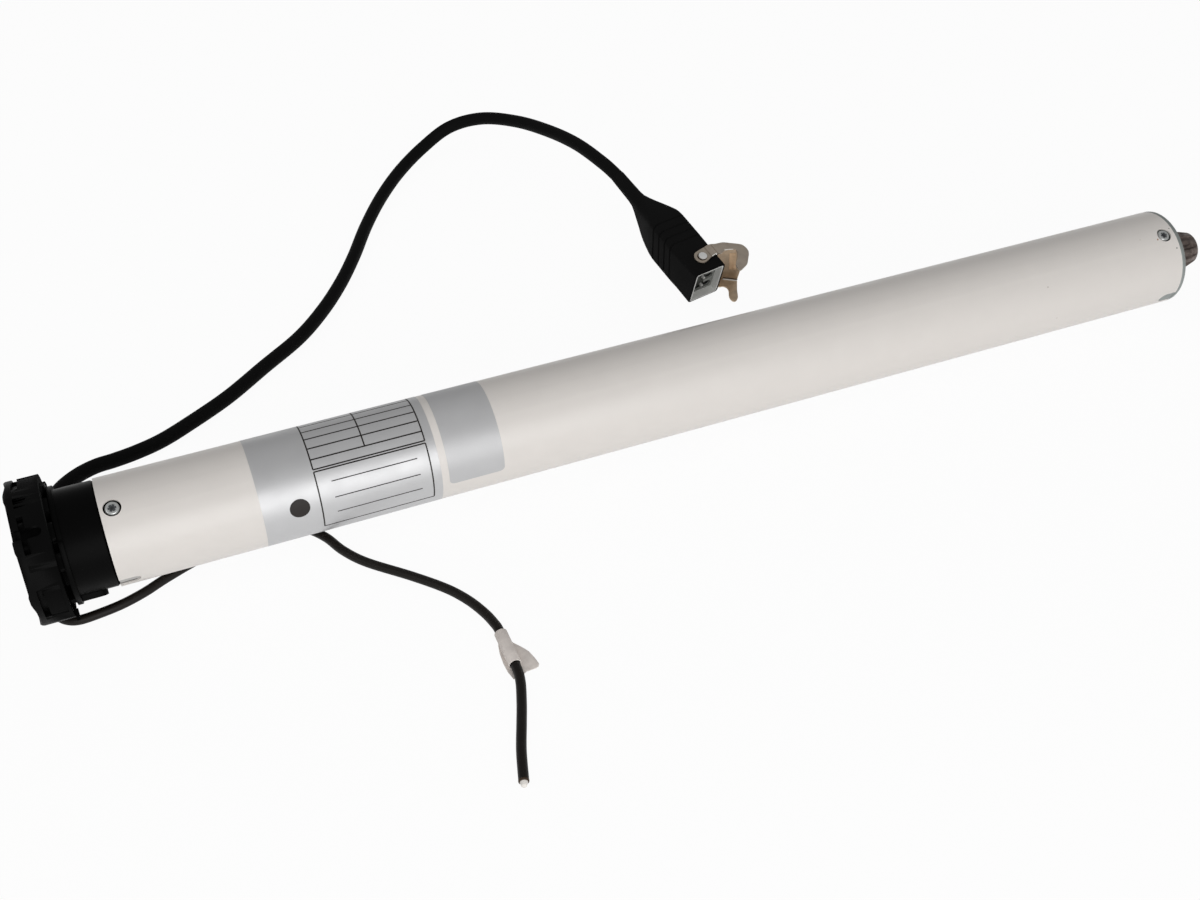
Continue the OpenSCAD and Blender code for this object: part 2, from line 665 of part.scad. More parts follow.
// Capacitor and the spider that centres it in the tube
module run_capacitor() color(pale_plastic) {
    rod(capacitor_x, capacitor_len, capacitor_d / 2);
    along_x(capacitor_x + capacitor_len - eps) cylinder(h = 3, r1 = capacitor_d / 2 - 1, r2 = capacitor_d / 2 - 4);
    for (y = [-5, 5]) translate([capacitor_x - 7, y - 0.4, -3]) cube([7 + eps, 0.8, 6]);
}
module capacitor_holder() color(black_plastic)
    difference() {
        union() {
            for (x = [6, capacitor_len - 10])
                pipe(capacitor_x + x, 4, carrier_r, capacitor_d / 2 + slip_fit);
            for (a = [30, 150, 270])
                sector(capacitor_x + 6, capacitor_len - 12, capacitor_d / 2 + slip_fit, capacitor_d / 2 + 3, 20, a);
        }
        for (a = [0 : 60 : 300])
            at_angle(a) translate([capacitor_x, 0, (carrier_r + capacitor_d / 2) / 2]) rotate([0, 90, 0])
                cylinder(h = capacitor_len, r = 2.2);
    }

// Brake: the armature is drawn to the coil and frees the disc on the rotor's shaft
module brake_housing() color(steel) {
    difference() {
        rod(brake_x, brake_len, carrier_r);
        rod(brake_x + brake_wall, coil_x - brake_x - brake_wall, carrier_r - 2);
        rod(brake_x - eps, brake_len + 2 * eps, rotor_shaft_r + 1.5);
        pipe(coil_x - eps, front_shield_x - coil_x - 4, 22, 12);
    }
}
module brake_coil() color(copper)
    pipe(coil_x + 0.5, front_shield_x - coil_x - 4.5 - 2 * eps, 22 - slip_fit, 12 + slip_fit);
module brake_armature() color(steel)
    pipe(armature_x, armature_t, carrier_r - 2 - body_gap, rotor_shaft_r + 2);
module brake_disc() color(dark_steel) {
    pipe(disc_x, disc_t, carrier_r - 4, rotor_shaft_r + eps / 2);
}

// Bearing shields at both ends of the stator. flip turns the bearing's pocket to the other side
module shield(x, flip) difference() {
    rod(x, shield_t, carrier_r);
    rod(x - eps, shield_t + 2 * eps, bearing_d / 2 - 3);
    rod(flip ? x - eps : x + shield_t - bearing_w, bearing_w + eps, bearing_d / 2 + eps);
    for (a = [15 : 60 : 315])
        at_angle(a) translate([x - eps, 0, (carrier_r + bearing_d / 2) / 2]) rotate([0, 90, 0])
            cylinder(h = shield_t + 2 * eps, r = 4.2);
}
module ball_bearing(x) along_x(x) rotate_extrude() difference() {
    translate([rotor_shaft_r + run_fit, 0]) square([bearing_d / 2 - rotor_shaft_r - run_fit, bearing_w]);
    for (y = [0, bearing_w])
        translate([rotor_shaft_r + 2.5, y - 0.4]) square([bearing_d / 2 - rotor_shaft_r - 5, 0.8]);
}
module front_shield() color(die_cast) shield(front_shield_x, false);
module rear_shield() color(die_cast) shield(rear_shield_x, true);
module front_bearing() color(steel) ball_bearing(front_shield_x + shield_t - bearing_w);
module rear_bearing() color(steel) ball_bearing(rear_shield_x);

// Stator: slotted stack, with the winding's legs in the slots and an end turn at each side
slot_in = rotor_d / 2 + air_gap + 1.6;
slot_out = carrier_r - 4.2;
slot_width = 4;
module slot_outline(grow) {
    for (i = [0 : slots - 1]) rotate(360 / slots * i) {
        translate([slot_in - grow, -slot_width / 2 - grow]) square([slot_out - slot_in + 2 * grow, slot_width + 2 * grow]);
    }
}
module stator_core() color(steel)
    along_x(stack_x) linear_extrude(stack_len) difference() {
        circle(carrier_r);
        circle(rotor_d / 2 + air_gap);
        slot_outline(0);
        for (i = [0 : slots - 1]) rotate(360 / slots * i)
            translate([slot_in - 2.5, -0.9]) square([3, 1.8]);
    }
module end_turn(x) along_x(x) rotate_extrude()
    translate([(slot_in + slot_out) / 2, end_turns / 2]) rounded_rect(slot_out - slot_in + 1, end_turns, 3);
module stator_windings() color(copper) {
    end_turn(stack_x - body_gap - end_turns);
    end_turn(stack_end + body_gap);
    along_x(stack_x - end_turns / 2) linear_extrude(stack_len + end_turns) slot_outline(-body_gap);
}

// Rotor: laminations with cast end rings, on the shaft whose end is the first sun
module rotor_core() color(steel) {
    pipe(stack_x, stack_len, rotor_d / 2, rotor_shaft_r + eps / 2);
    for (x = [stack_x - 6 + eps, stack_end - eps]) pipe(x, 6, rotor_d / 2 - 1, rotor_shaft_r + 3);
}
module rotor_shaft() color(dark_steel) {
    rod(rotor_x, stage1_x - rotor_x, rotor_shaft_r);
    sun(stage1_x - 1, planet_w1 + 1);
}

// Gear train
module sun(x, len) along_x(x) linear_extrude(len) external_teeth(sun_teeth);
module gearbox_plate() color(die_cast)
    difference() {
        rod(gearbox_plate_x, gearbox_plate_t, carrier_r);
        rod(gearbox_plate_x - eps, gearbox_plate_t + 2 * eps, sun_r + addendum * tooth_module + 0.8);
        rod(gearbox_plate_x - eps, 4, bearing_d / 2 + 2);
    }
module ring_gear() color(steel)
    along_x(ring_gear_x) linear_extrude(flange_x - ring_gear_x) difference() {
        circle(carrier_r);
        internal_teeth(ring_teeth);
    }
module planet(x, w, i) along_x(x) rotate(120 * i) translate([orbit_r, 0, 0]) difference() {
    linear_extrude(w) external_teeth(planet_teeth);
    translate([0, 0, -eps]) cylinder(h = w + 2 * eps, r = planet_pin_d / 2 + run_fit);
}
module carrier(plate_x, t, planet_x) {
    rod(plate_x, t, plate_r);
    for (i = [0 : 2]) along_x(planet_x) rotate(120 * i) translate([orbit_r, 0, 0])
        cylinder(h = plate_x - planet_x + eps, r = planet_pin_d / 2);
}
module planet_1a() color(steel) planet(stage1_x, planet_w1, 0);
module planet_1b() color(steel) planet(stage1_x, planet_w1, 1);
module planet_1c() color(steel) planet(stage1_x, planet_w1, 2);
module planet_2a() color(steel) planet(stage2_x, planet_w2, 0);
module planet_2b() color(steel) planet(stage2_x, planet_w2, 1);
module planet_2c() color(steel) planet(stage2_x, planet_w2, 2);
module planet_3a() color(steel) planet(stage3_x, planet_w3, 0);
module planet_3b() color(steel) planet(stage3_x, planet_w3, 1);
module planet_3c() color(steel) planet(stage3_x, planet_w3, 2);
module carrier_1() color(dark_steel) {
    carrier(carrier1_x, plate_t, stage1_x);
    sun(carrier1_x + plate_t - eps, stage_gap + planet_w2 + eps);
}
module carrier_2() color(dark_steel) {
    carrier(carrier2_x, plate_t, stage2_x);
    sun(carrier2_x + plate_t - eps, stage_gap + planet_w3 + eps);
}

// Output shaft in one piece with the third carrier, its splines and its tapped end
spline_root_r = spline_d / 2 - spline_depth;
spline_len = shaft_out - flange_lip - 1.5;
spline_tip = 0.2 * PI * spline_d / splines;
spline_base = 0.3 * PI * spline_d / splines;
shaft_edge = 0.8;
module spline_outline() {
    circle(spline_root_r);
    for (i = [0 : splines - 1]) rotate(360 / splines * i)
        polygon([[spline_root_r - 4, -spline_base], [spline_root_r - 0.4, -spline_base],
            [spline_d / 2, -spline_tip], [spline_d / 2, spline_tip],
            [spline_root_r - 0.4, spline_base], [spline_root_r - 4, spline_base]]);
}
module splined_end() along_x(shaft_end - spline_len) intersection() {
    linear_extrude(spline_len) spline_outline();
    rotate_extrude() polygon([[0, 0], [spline_d / 2 + eps, 0], [spline_d / 2 + eps, spline_len - spline_lead],
        [spline_root_r, spline_len - shaft_edge], [spline_root_r - shaft_edge, spline_len], [0, spline_len]]);
}
module output_shaft() color(dark_steel)
    difference() {
        union() {
            carrier(output_plate_x, output_plate_t, stage3_x);
            rod(output_plate_x, tube_end + flange_lip + 1.5 + eps - output_plate_x, shaft_d / 2);
            splined_end();
        }
        rod(shaft_end - end_bore_len, end_bore_len + eps, end_bore / 2);
    }
module output_bush() color(bronze_sheet)
    pipe(flange_x + stage_gap, flange_len + flange_lip - 2 * stage_gap, shaft_d / 2 + bush_wall, shaft_d / 2 + run_fit);

// Die-cast flange in the tube's end, keyed in the notches and held by the flange screws
lip_edge = 0.3;
module output_flange() color(die_cast)
    difference() {
        union() {
            rod(flange_x, flange_len + eps, inner_r);
            rod(tube_end, flange_lip - lip_edge, tube_r - 0.1);
            along_x(tube_end + flange_lip - lip_edge - eps)
                cylinder(h = lip_edge + eps, r1 = tube_r - 0.1, r2 = tube_r - 0.1 - lip_edge);
            for (a = [notch_angle, notch_angle + 180])
                at_angle(a) translate([tube_end, 0, 0]) mirror([1, 0, 0])
                    end_slot(0, notch_len - slip_fit, notch_w - 2 * slip_fit, inner_r - 2, tube_r - 0.4);
        }
        rod(flange_x - eps, flange_len + flange_lip + 2 * eps, shaft_d / 2 + bush_wall + eps);
        for (a = [screw_angle, screw_angle + 180]) screw_cut(flange_screw_x, a);
        for (a = [screw_angle + 45 : 90 : screw_angle + 315])
            at_angle(a) translate([flange_x - eps, 0, inner_r - 6.2]) rotate([0, 90, 0])
                cylinder(h = flange_len - 8, r = 3.4);
    }

// Boot: a root in the head, a collar and a ribbed taper along the cord
module cord_boot() color(black_rubber)
    at_angle(cord_angle) translate([outlet_x, 0, 0]) {
        translate([0, 0, boot_seat]) cylinder(h = head_r + body_gap - boot_seat + eps, r = boot_root_r);
        translate([0, 0, head_r + body_gap]) rotate_extrude() polygon(concat(
            [[0, 0], [boot_collar_r, 0], [boot_collar_r, 3]],
            [for (i = [0 : 3]) each let(
                z = 4 + (boot_len - 6) * i / 4,
                r = boot_collar_r - 0.3 - (boot_collar_r - 0.3 - boot_tip_r) * i / 4)
                [[r - 0.9, z], [r - 0.9, z + 1.1], [r, z + 1.1], [r, z + (boot_len - 6) / 4 - 0.1]]],
            [[boot_tip_r, boot_len], [0, boot_len]]));
    }
module power_cord() color(black_rubber) swept_cord(smooth_route(cord_points, 2), cord_r, 10);

// Plug: moulded body with leaning grip ribs, a tapered neck and a sleeve, open at its mouth
module plug_frame() translate([plug_x, plug_y, plug_rest]) rotate([plug_pitch, 0, plug_turn]) children();
module plug_slab(y, len, w, h, r) translate([0, y, plug_mid]) rotate([-90, 0, 0])
    linear_extrude(len) rounded_rect(w, h, r);
plug_edge = 2.4;
plug_round = 3;
grip_ribs = 4;
grip_start = 25.2;
grip_pitch = 6.1;
grip_w = 3.2;
grip_h = 0.4;
module grip_rib(y) translate([0, y, plug_mid]) rotate([-90 - rib_lean, 0, 0])
    linear_extrude(grip_w, center = true)
        rounded_rect(plug_w + 2 * grip_h, plug_h / cos(rib_lean) + 2 * grip_h, plug_edge + grip_h);
module plug_housing() color(black_plastic)
    plug_frame() difference() {
        union() {
            plug_slab(0, plug_len, plug_w, plug_h, plug_edge);
            for (i = [0 : grip_ribs - 1]) grip_rib(grip_start + grip_pitch * i);
            hull($fn = 32) {
                plug_slab(plug_len - eps, eps, plug_w, plug_h, plug_round);
                plug_slab(plug_len + plug_neck / 2, eps, (plug_w + plug_neck_d) / 2 + 0.7,
                    (plug_h + plug_neck_d) / 2 + 1.2, 4.5);
                translate([0, plug_len + plug_neck - 1, plug_mid]) rotate([-90, 0, 0])
                    cylinder(h = 1, d = plug_neck_d);
            }
            translate([0, plug_len + plug_neck - eps, plug_mid]) rotate([-90, 0, 0]) rotate_extrude()
                polygon([[0, 0], [plug_neck_d / 2, 0], [plug_neck_d / 2 - 0.5, plug_tail * 0.3],
                    [cord_r + 0.7, plug_tail * 0.8], [cord_r + 0.6, plug_tail], [0, plug_tail]]);
        }
        plug_slab(-eps, mouth_depth + eps, plug_w - 2 * plug_wall, plug_h - 2 * plug_wall, 1);
        translate([pivot_side, pivot_in, -1]) cylinder(h = plug_h + 2, d = rivet_d + 2 * eps);
    }

// Lining of the mouth with three chambers, and the flat contact in each
insert_front = 11;
chamber_depth = 9;
chamber_pitch = 6.4;
chamber = [12, 4.6];
contact = [6, 1.4];
contact_front = 12.5;
contact_root = 6;
liner_w = plug_w - 2 * plug_wall - 2 * slip_fit;
liner_h = plug_h - 2 * plug_wall - 2 * slip_fit;
module chamber_rows(y, len, size)
    for (row = [-1 : 1])
        translate([-size[0] / 2, y, plug_mid + chamber_pitch * row - size[1] / 2]) cube([size[0], len, size[1]]);
module plug_insert() color(pale_plastic)
    plug_frame() difference() {
        plug_slab(body_gap, mouth_depth - body_gap, liner_w, liner_h, 0.8);
        plug_slab(-1, insert_front + 1, liner_w - 2 * liner_wall, liner_h - 2 * liner_wall, 0.6);
        chamber_rows(insert_front - eps, chamber_depth, chamber);
        chamber_rows(insert_front, chamber_depth + contact_root, contact + 2 * [eps, eps]);
    }
module plug_contacts() color(zinc_plate)
    plug_frame()
        chamber_rows(contact_front, insert_front + chamber_depth + contact_root - contact_front, contact);

// Bail: an upper and a lower arm on the rivets, both hooked forward, and the web that joins them
pivot_side = 0.9;
pivot = [pivot_side, pivot_in];
bail_ear_r = 4.8;
bail_step = 0.8;
bail_low = -body_gap - bail_t;
bail_high = plug_h + body_gap;
upper_arm = [pivot, pivot + [9.9, 3], pivot + [17.9, 1.4], pivot + [26.5, -4.5], pivot + [25.5, -9.7],
    pivot + [17.3, -18.5]];
lower_arm = [pivot, pivot + [11.4, -1.9], pivot + [25.1, -9.3], pivot + [22.7, -14.1], pivot + [16.4, -22.1]];
bail_web = [pivot + [15.3, -1.3], pivot + [20.1, -3.5], pivot + [27.9, -9]];
module bail_arm(chain, w) {
    translate(pivot) circle(bail_ear_r);
    ribbon([chain[0], chain[1]], 2 * bail_ear_r);
    ribbon(chain, w);
}
module stepped_sheet() translate([0, pivot_in + 60, bail_high + bail_t / 2]) rotate([90, 0, 0])
    linear_extrude(120) ribbon([pivot + [-20, -pivot_in], [pivot_side + 5.8, 0], [pivot_side + 9.8, bail_step],
        [pivot_side + 60, bail_step]], bail_t);
module bail() color(bronze_sheet)
    plug_frame() difference() {
        union() {
            translate([0, 0, bail_low]) linear_extrude(bail_t) bail_arm(lower_arm, bail_w - 0.6);
            intersection() {
                translate([0, 0, bail_high - 1]) linear_extrude(bail_step + bail_t + 2) bail_arm(upper_arm, bail_w);
                stepped_sheet();
            }
            translate([0, 0, bail_low + 0.2]) linear_extrude(bail_high + bail_step + bail_t - bail_low - 0.4)
                ribbon(bail_web, bail_t);
        }
        translate(concat(pivot, [bail_low - 1]))
            cylinder(h = bail_high - bail_low + bail_t + 2, d = rivet_d + 2 * run_fit);
    }
module bail_pins() color(zinc_plate)
    plug_frame() for (side = [0, 1])
        translate([pivot_side, pivot_in, plug_mid]) rotate([180 * side, 0, 0]) {
            translate([0, 0, plug_mid - plug_wall + 0.1])
                cylinder(h = plug_wall - 0.1 + 1.5 * body_gap + bail_t, d = rivet_d);
            translate([0, 0, plug_mid + 1.5 * body_gap + bail_t - eps]) cylinder(h = 0.9, d = rivet_d + 1.9);
        }

// Aerial: grommet in the head's channel, lead, bare core and the paper wrapped round it
module aerial_grommet() color(black_rubber)
    difference() {
        at_angle(lead_angle) translate([channel_x, -channel_w / 2 + slip_fit, grommet_bed])
            cube([grommet_len, channel_w - 2 * slip_fit, head_r - 0.4 - grommet_bed]);
        translate(lead_start - eps * lead_way)
            rotate([0, acos(lead_way[2]), atan2(lead_way[1], lead_way[0])]) cylinder(h = 12, r = lead_r + eps);
    }
module aerial_lead() color(black_rubber) swept_cord(lead_points, lead_r, 8);
module aerial_core() color("#e8e4de")
    translate(lead_end) rotate([0, 0, lead_turn]) rotate([0, 90, 0])
        cylinder(h = core_len, d1 = core_d, d2 = core_d * 0.5);
tag_t = 0.5;
flag_outline = [[-1.5, 10.8], [-3.2, 6], [-4.2, 1], [-4.7, -6], [-4.4, -12], [-3.2, -17.4], [1.8, -17.4],
    [3, -16.1], [4.6, -15.2], [tag_reach - 2.4, -15], [tag_reach - 0.8, -14.4], [tag_reach, -13],
    [tag_reach - 0.6, -9], [tag_reach - 2, -3.6], [tag_reach - 3.8, -0.4], [6.4, 2.2], [4.4, 5], [3.2, 8],
    [2.4, 10.8]];
module aerial_tag() color(paper)
    translate(tag_mid) difference() {
        union() {
            rotate([90, 0, 0]) cylinder(h = tag_len, r = lead_r + body_gap + tag_t, center = true);
            translate([0, 0, body_gap - tag_lift]) linear_extrude(tag_t) polygon(flag_outline);
        }
        rotate([90, 0, 0]) cylinder(h = 3 * tag_len, r = lead_r + body_gap, center = true);
    }

motor_head();
head_cover();
head_inserts();
head_screws();
running_ring();
tube();
board_carrier();
circuit_board();
terminal_block();
relays();
supply_transformer();
radio_module();
run_capacitor();
capacitor_holder();
brake_housing();
brake_coil();
brake_armature();
brake_disc();
front_shield();
front_bearing();
stator_core();
stator_windings();
rotor_core();
rotor_shaft();
rear_shield();
rear_bearing();
gearbox_plate();
ring_gear();
planet_1a();
planet_1b();
planet_1c();
carrier_1();
planet_2a();
planet_2b();
planet_2c();
carrier_2();
planet_3a();
planet_3b();
planet_3c();
output_shaft();
output_bush();
output_flange();
flange_screws();
cord_boot();
power_cord();
plug_housing();
plug_insert();
plug_contacts();
bail();
bail_pins();
aerial_grommet();
aerial_lead();
aerial_core();
aerial_tag();
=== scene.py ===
import json
import logging
import math
from dataclasses import dataclass
from enum import Enum

import bpy
from bpy.types import Material, Node, NodeSocket, NodeTree, Object
from mathutils import Matrix, Vector


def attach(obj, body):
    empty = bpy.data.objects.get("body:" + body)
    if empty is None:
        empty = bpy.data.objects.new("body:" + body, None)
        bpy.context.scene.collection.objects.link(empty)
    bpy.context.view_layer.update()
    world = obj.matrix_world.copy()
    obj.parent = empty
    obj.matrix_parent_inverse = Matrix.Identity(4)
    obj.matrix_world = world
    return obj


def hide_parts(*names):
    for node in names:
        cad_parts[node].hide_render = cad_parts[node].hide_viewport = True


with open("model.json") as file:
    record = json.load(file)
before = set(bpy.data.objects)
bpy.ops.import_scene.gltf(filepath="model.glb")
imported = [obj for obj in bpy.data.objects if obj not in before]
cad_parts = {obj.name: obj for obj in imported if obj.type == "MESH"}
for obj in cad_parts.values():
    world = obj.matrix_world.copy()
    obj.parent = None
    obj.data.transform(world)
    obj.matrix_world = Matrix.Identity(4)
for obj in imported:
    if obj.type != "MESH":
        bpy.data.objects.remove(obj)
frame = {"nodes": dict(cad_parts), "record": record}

LOG = logging.getLogger("blind_motor")
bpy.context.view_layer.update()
MM = 0.001
MERGE = 0.002 * MM
PATCH_THICK = 0.04
PATCH_STRIP = 0.8
# A wave texture with scale one repeats every 0.314 metres.
WAVE = 0.314
# Materials by the name of their look, made by fill_palette.
PALETTE: dict[str, Material] = {}
Pair = tuple[float, float]
Point = tuple[float, float, float]
Outline = tuple[Pair, ...]
Route = tuple[Point, ...]
Rows = tuple[tuple[float, ...], ...]


class Body(Enum):
    """Bodies that a visible piece rides on."""

    ROOT = "root"
    RING = "running_ring"
    OUTPUT = "output"
    BAIL = "bail"


def linear(colour: str) -> tuple[float, float, float, float]:
    """Turn an sRGB hex colour into linear RGBA.

    Args:
        colour: Six hex digits after a hash.

    Returns:
        Linear red, green, blue and an alpha of one.
    """
    parts = [int(colour[i:i + 2], 16) / 255 for i in (1, 3, 5)]
    made = [c / 12.92 if c <= 0.04045 else ((c + 0.055) / 1.055) ** 2.4 for c in parts]
    return (made[0], made[1], made[2], 1.0)


def feed(tree: NodeTree, node: Node, links: dict[int | str, object]) -> Node:
    """Link or set a node's inputs.

    Args:
        tree: Node tree that holds the node.
        node: The node.
        links: Input name or index to a socket to link, or to a plain value.

    Returns:
        The node.
    """
    for name, value in links.items():
        if isinstance(value, NodeSocket):
            tree.links.new(value, node.inputs[name])
        else:
            node.inputs[name].default_value = value
    return node


def add_node(tree: NodeTree, kind: str, links: dict[int | str, object] | None = None,
             **settings: object) -> Node:
    """Add one node with its settings, and link or set its inputs.

    Args:
        tree: Node tree that takes the node.
        kind: Blender's name for the node type.
        links: Inputs, as for feed.
        settings: Attributes to set on the node.

    Returns:
        The new node.
    """
    node = tree.nodes.new(kind)
    for name, value in settings.items():
        setattr(node, name, value)
    return feed(tree, node, links or {})


@dataclass(frozen=True)
class Finish:
    """A surface with even colour, fine grain and slight unevenness.

    The grain is a bump with a size in millimetres and a depth. The mottle shifts colour and gloss
    over patches with a size and a share. Stripes have a spacing, an axis and a share.
    """

    name: str
    colour: str
    roughness: float
    metallic: float = 0.0
    grain: Pair = (0.5, 0.04)
    mottle: Pair = (14.0, 0.06)
    specular: float = 0.5
    stripes: tuple[float, str, float] | None = None

    def build(self) -> Material:
        """Make the material with its nodes."""
        material = bpy.data.materials.new(self.name)
        material.use_nodes = True
        tree = material.node_tree
        place = add_node(tree, "ShaderNodeTexCoord").outputs["Object"]
        patch = self.noise(tree, place, self.mottle[0], 4.0)
        colour = self.mottled(tree, patch)
        height = self.noise(tree, place, self.grain[0], 2.0)
        if self.stripes:
            height, colour = self.striped(tree, place, colour)
        gloss = add_node(tree, "ShaderNodeMapRange", {
            "Value": patch, "From Min": 0.3, "From Max": 0.7,
            "To Min": max(0.02, self.roughness - 0.05), "To Max": self.roughness + 0.05})
        bump = add_node(tree, "ShaderNodeBump", {
            "Height": height, "Strength": self.grain[1], "Distance": self.grain[0] * MM})
        feed(tree, tree.nodes["Principled BSDF"], {
            "Base Color": self.marked(tree, place, colour), "Metallic": self.metallic,
            "Specular IOR Level": self.specular, "Roughness": gloss.outputs["Result"],
            "Normal": bump.outputs["Normal"]})
        return material

    def noise(self, tree: NodeTree, place: NodeSocket, size_mm: float, detail: float) -> NodeSocket:
        """Give a noise pattern whose patches are about size_mm wide."""
        links = {"Vector": place, "Scale": 1 / (size_mm * MM), "Detail": detail}
        return add_node(tree, "ShaderNodeTexNoise", links).outputs["Fac"]

    def mottled(self, tree: NodeTree, patch: NodeSocket) -> NodeSocket:
        """Give the colour, a little darker and lighter over the patches.

        Args:
            tree: The material's nodes.
            patch: Pattern that drives the mottle.

        Returns:
            The colour socket.
        """
        ramp = add_node(tree, "ShaderNodeValToRGB", {"Fac": patch})
        for stop, position, way in zip(ramp.color_ramp.elements, (0.3, 0.7), (-1, 1)):
            stop.position = position
            stop.color = [min(1.0, c * (1 + way * self.mottle[1])) for c in linear(self.colour)[:3]] + [1.0]
        return ramp.outputs["Color"]

    def striped(self, tree: NodeTree, place: NodeSocket, colour: NodeSocket) -> tuple[NodeSocket, NodeSocket]:
        """Darken the gaps between sheets, turns or machining marks.

        Args:
            tree: The material's nodes.
            place: Coordinates in metres.
            colour: Colour before the stripes.

        Returns:
            The stripes as a height, and the colour with them.
        """
        spacing, axis, share = self.stripes
        band = add_node(tree, "ShaderNodeTexWave", {
            "Vector": place, "Scale": WAVE / (spacing * MM), "Distortion": 0.4, "Detail": 1.0},
            wave_type="BANDS", bands_direction=axis).outputs["Fac"]
        dark = add_node(tree, "ShaderNodeMapRange", {
            "Value": band, "From Min": 0.0, "From Max": 0.45, "To Min": 1 - share, "To Max": 1.0})
        made = add_node(tree, "ShaderNodeMix", {"Factor": 1.0, 6: colour, 7: dark.outputs["Result"]},
                        data_type="RGBA", blend_type="MULTIPLY")
        return band, made.outputs[2]

    def marked(self, tree: NodeTree, place: NodeSocket, colour: NodeSocket) -> NodeSocket:
        """Give the colour with marks of use; an even finish has none."""
        return colour


@dataclass(frozen=True)
class Mark:
    """A small spot on the tube: where it is, how wide, and its colour."""

    x: float
    angle: float
    radius: float
    colour: str


@dataclass(frozen=True)
class SpottedPaint(Finish):
    """Powder coat on the steel tube, with a few dirt specks and chips."""

    tube_r: float = 29.0
    ragged_mm: float = 0.6
    marks: tuple[Mark, ...] = ()

    def marked(self, tree: NodeTree, place: NodeSocket, colour: NodeSocket) -> NodeSocket:
        """Colour each spot over the paint.

        Args:
            tree: The material's nodes.
            place: Coordinates in metres.
            colour: Colour of the paint.

        Returns:
            The colour with the spots.
        """
        ragged = self.noise(tree, place, self.ragged_mm, 2.0)
        for mark in self.marks:
            middle = radial(mark.x, mark.angle, self.tube_r).translation
            away = add_node(tree, "ShaderNodeVectorMath", {0: place, 1: middle}, operation="DISTANCE")
            edge = add_node(tree, "ShaderNodeMath", {
                0: ragged, 1: mark.radius * MM, 2: 0.5 * mark.radius * MM}, operation="MULTIPLY_ADD")
            inside = add_node(tree, "ShaderNodeMath", {
                0: away.outputs["Value"], 1: edge.outputs[0]}, operation="LESS_THAN")
            colour = add_node(tree, "ShaderNodeMix", {
                "Factor": inside.outputs[0], 6: colour, 7: linear(mark.colour)}, data_type="RGBA").outputs[2]
        return colour


def shift(x: float, y: float, z: float) -> Matrix:
    """Give a move in millimetres."""
    return Matrix.Translation((x * MM, y * MM, z * MM))


def turn(degrees: float, axis: str) -> Matrix:
    """Give a turn about an axis."""
    return Matrix.Rotation(math.radians(degrees), 4, axis)


def radial(x: float, angle: float, out: float = 0.0) -> Matrix:
    """Give a place on the motor whose local z points away from the axis.

    Args:
        x: Place along the axis, in millimetres.
        angle: Degrees from the front over the top.
        out: Distance from the axis.

    Returns:
        The matrix.
    """
    return shift(x, 0, 0) @ turn(90 - angle, "X") @ shift(0, 0, out)


def aimed(spot: Vector, way: Vector, axis: str) -> Matrix:
    """Give a place in metres with one axis along a direction."""
    return Matrix.Translation(spot) @ way.to_track_quat(axis, "Y").to_matrix().to_4x4()


def linked(name: str, data: bpy.types.ID) -> Object:
    """Add an object with some data to the scene.

    Args:
        name: Name of the object.
        data: Its mesh, curve, lamp or camera.

    Returns:
        The object.
    """
    piece = bpy.data.objects.new(name, data)
    bpy.context.scene.collection.objects.link(piece)
    return piece


def deselect() -> None:
    """Leave edit mode and clear the selection."""
    if bpy.context.object and bpy.context.object.mode != "OBJECT":
        bpy.ops.object.mode_set(mode="OBJECT")
    bpy.ops.object.select_all(action="DESELECT")


def pick(piece: Object) -> Object:
    """Select one object alone and make it active.

    Args:
        piece: The object.

    Returns:
        The same object.
    """
    deselect()
    piece.select_set(True)
    bpy.context.view_layer.objects.active = piece
    return piece


def select_all() -> None:
    """Select all of the mesh that is open in edit mode."""
    bpy.ops.mesh.select_all(action="SELECT")


def edit(piece: Object) -> None:
    """Open a mesh in edit mode with all of it selected.

    Args:
        piece: Mesh object.
    """
    pick(piece)
    bpy.ops.object.mode_set(mode="EDIT")
    select_all()


def apply_modifier(piece: Object, kind: str, **settings: object) -> Object:
    """Add a modifier with its settings and apply it.

    Args:
        piece: Object that takes it.
        kind: Blender's name for the modifier type.
        settings: Attributes to set.

    Returns:
        The piece.
    """
    pick(piece)
    modifier = piece.modifiers.new(kind.lower(), kind)
    for name, value in settings.items():
        setattr(modifier, name, value)
    bpy.ops.object.modifier_apply(modifier=modifier.name)
    return piece


def placed(piece: Object, matrix: Matrix) -> Object:
    """Put a piece in its place and keep the place in its mesh.

    Args:
        piece: Object made at the origin.
        matrix: Its place.

    Returns:
        The piece, at the origin.
    """
    pick(piece)
    piece.matrix_world = matrix
    bpy.ops.object.transform_apply(location=True, rotation=True, scale=True)
    return piece


def scaled(piece: Object, size: Point) -> Object:
    """Give a new piece its size and keep the size in its mesh.

    Args:
        piece: The active object, one metre wide.
        size: Its size in metres.

    Returns:
        The piece.
    """
    piece.scale = size
    bpy.ops.object.transform_apply(location=False, rotation=True, scale=True)
    return piece


def smoothed(piece: Object, angle: float) -> Object:
    """Shade a piece smooth where its faces meet at less than some angle.

    Args:
        piece: Mesh object.
        angle: The angle in degrees.

    Returns:
        The piece.
    """
    pick(piece)
    bpy.ops.object.shade_smooth_by_angle(angle=math.radians(angle))
    return piece


def bevelled(piece: Object, width: float, segments: int, angle: float, **more: object) -> Object:
    """Round the edges that turn by more than some angle.

    Args:
        piece: Mesh object.
        width: Width of the rounding, in millimetres.
        segments: Steps in it.
        angle: The angle in degrees.
        more: Other settings of the modifier.

    Returns:
        The piece.
    """
    return apply_modifier(piece, "BEVEL", width=width * MM, segments=segments, limit_method="ANGLE",
                          angle_limit=math.radians(angle), **more)


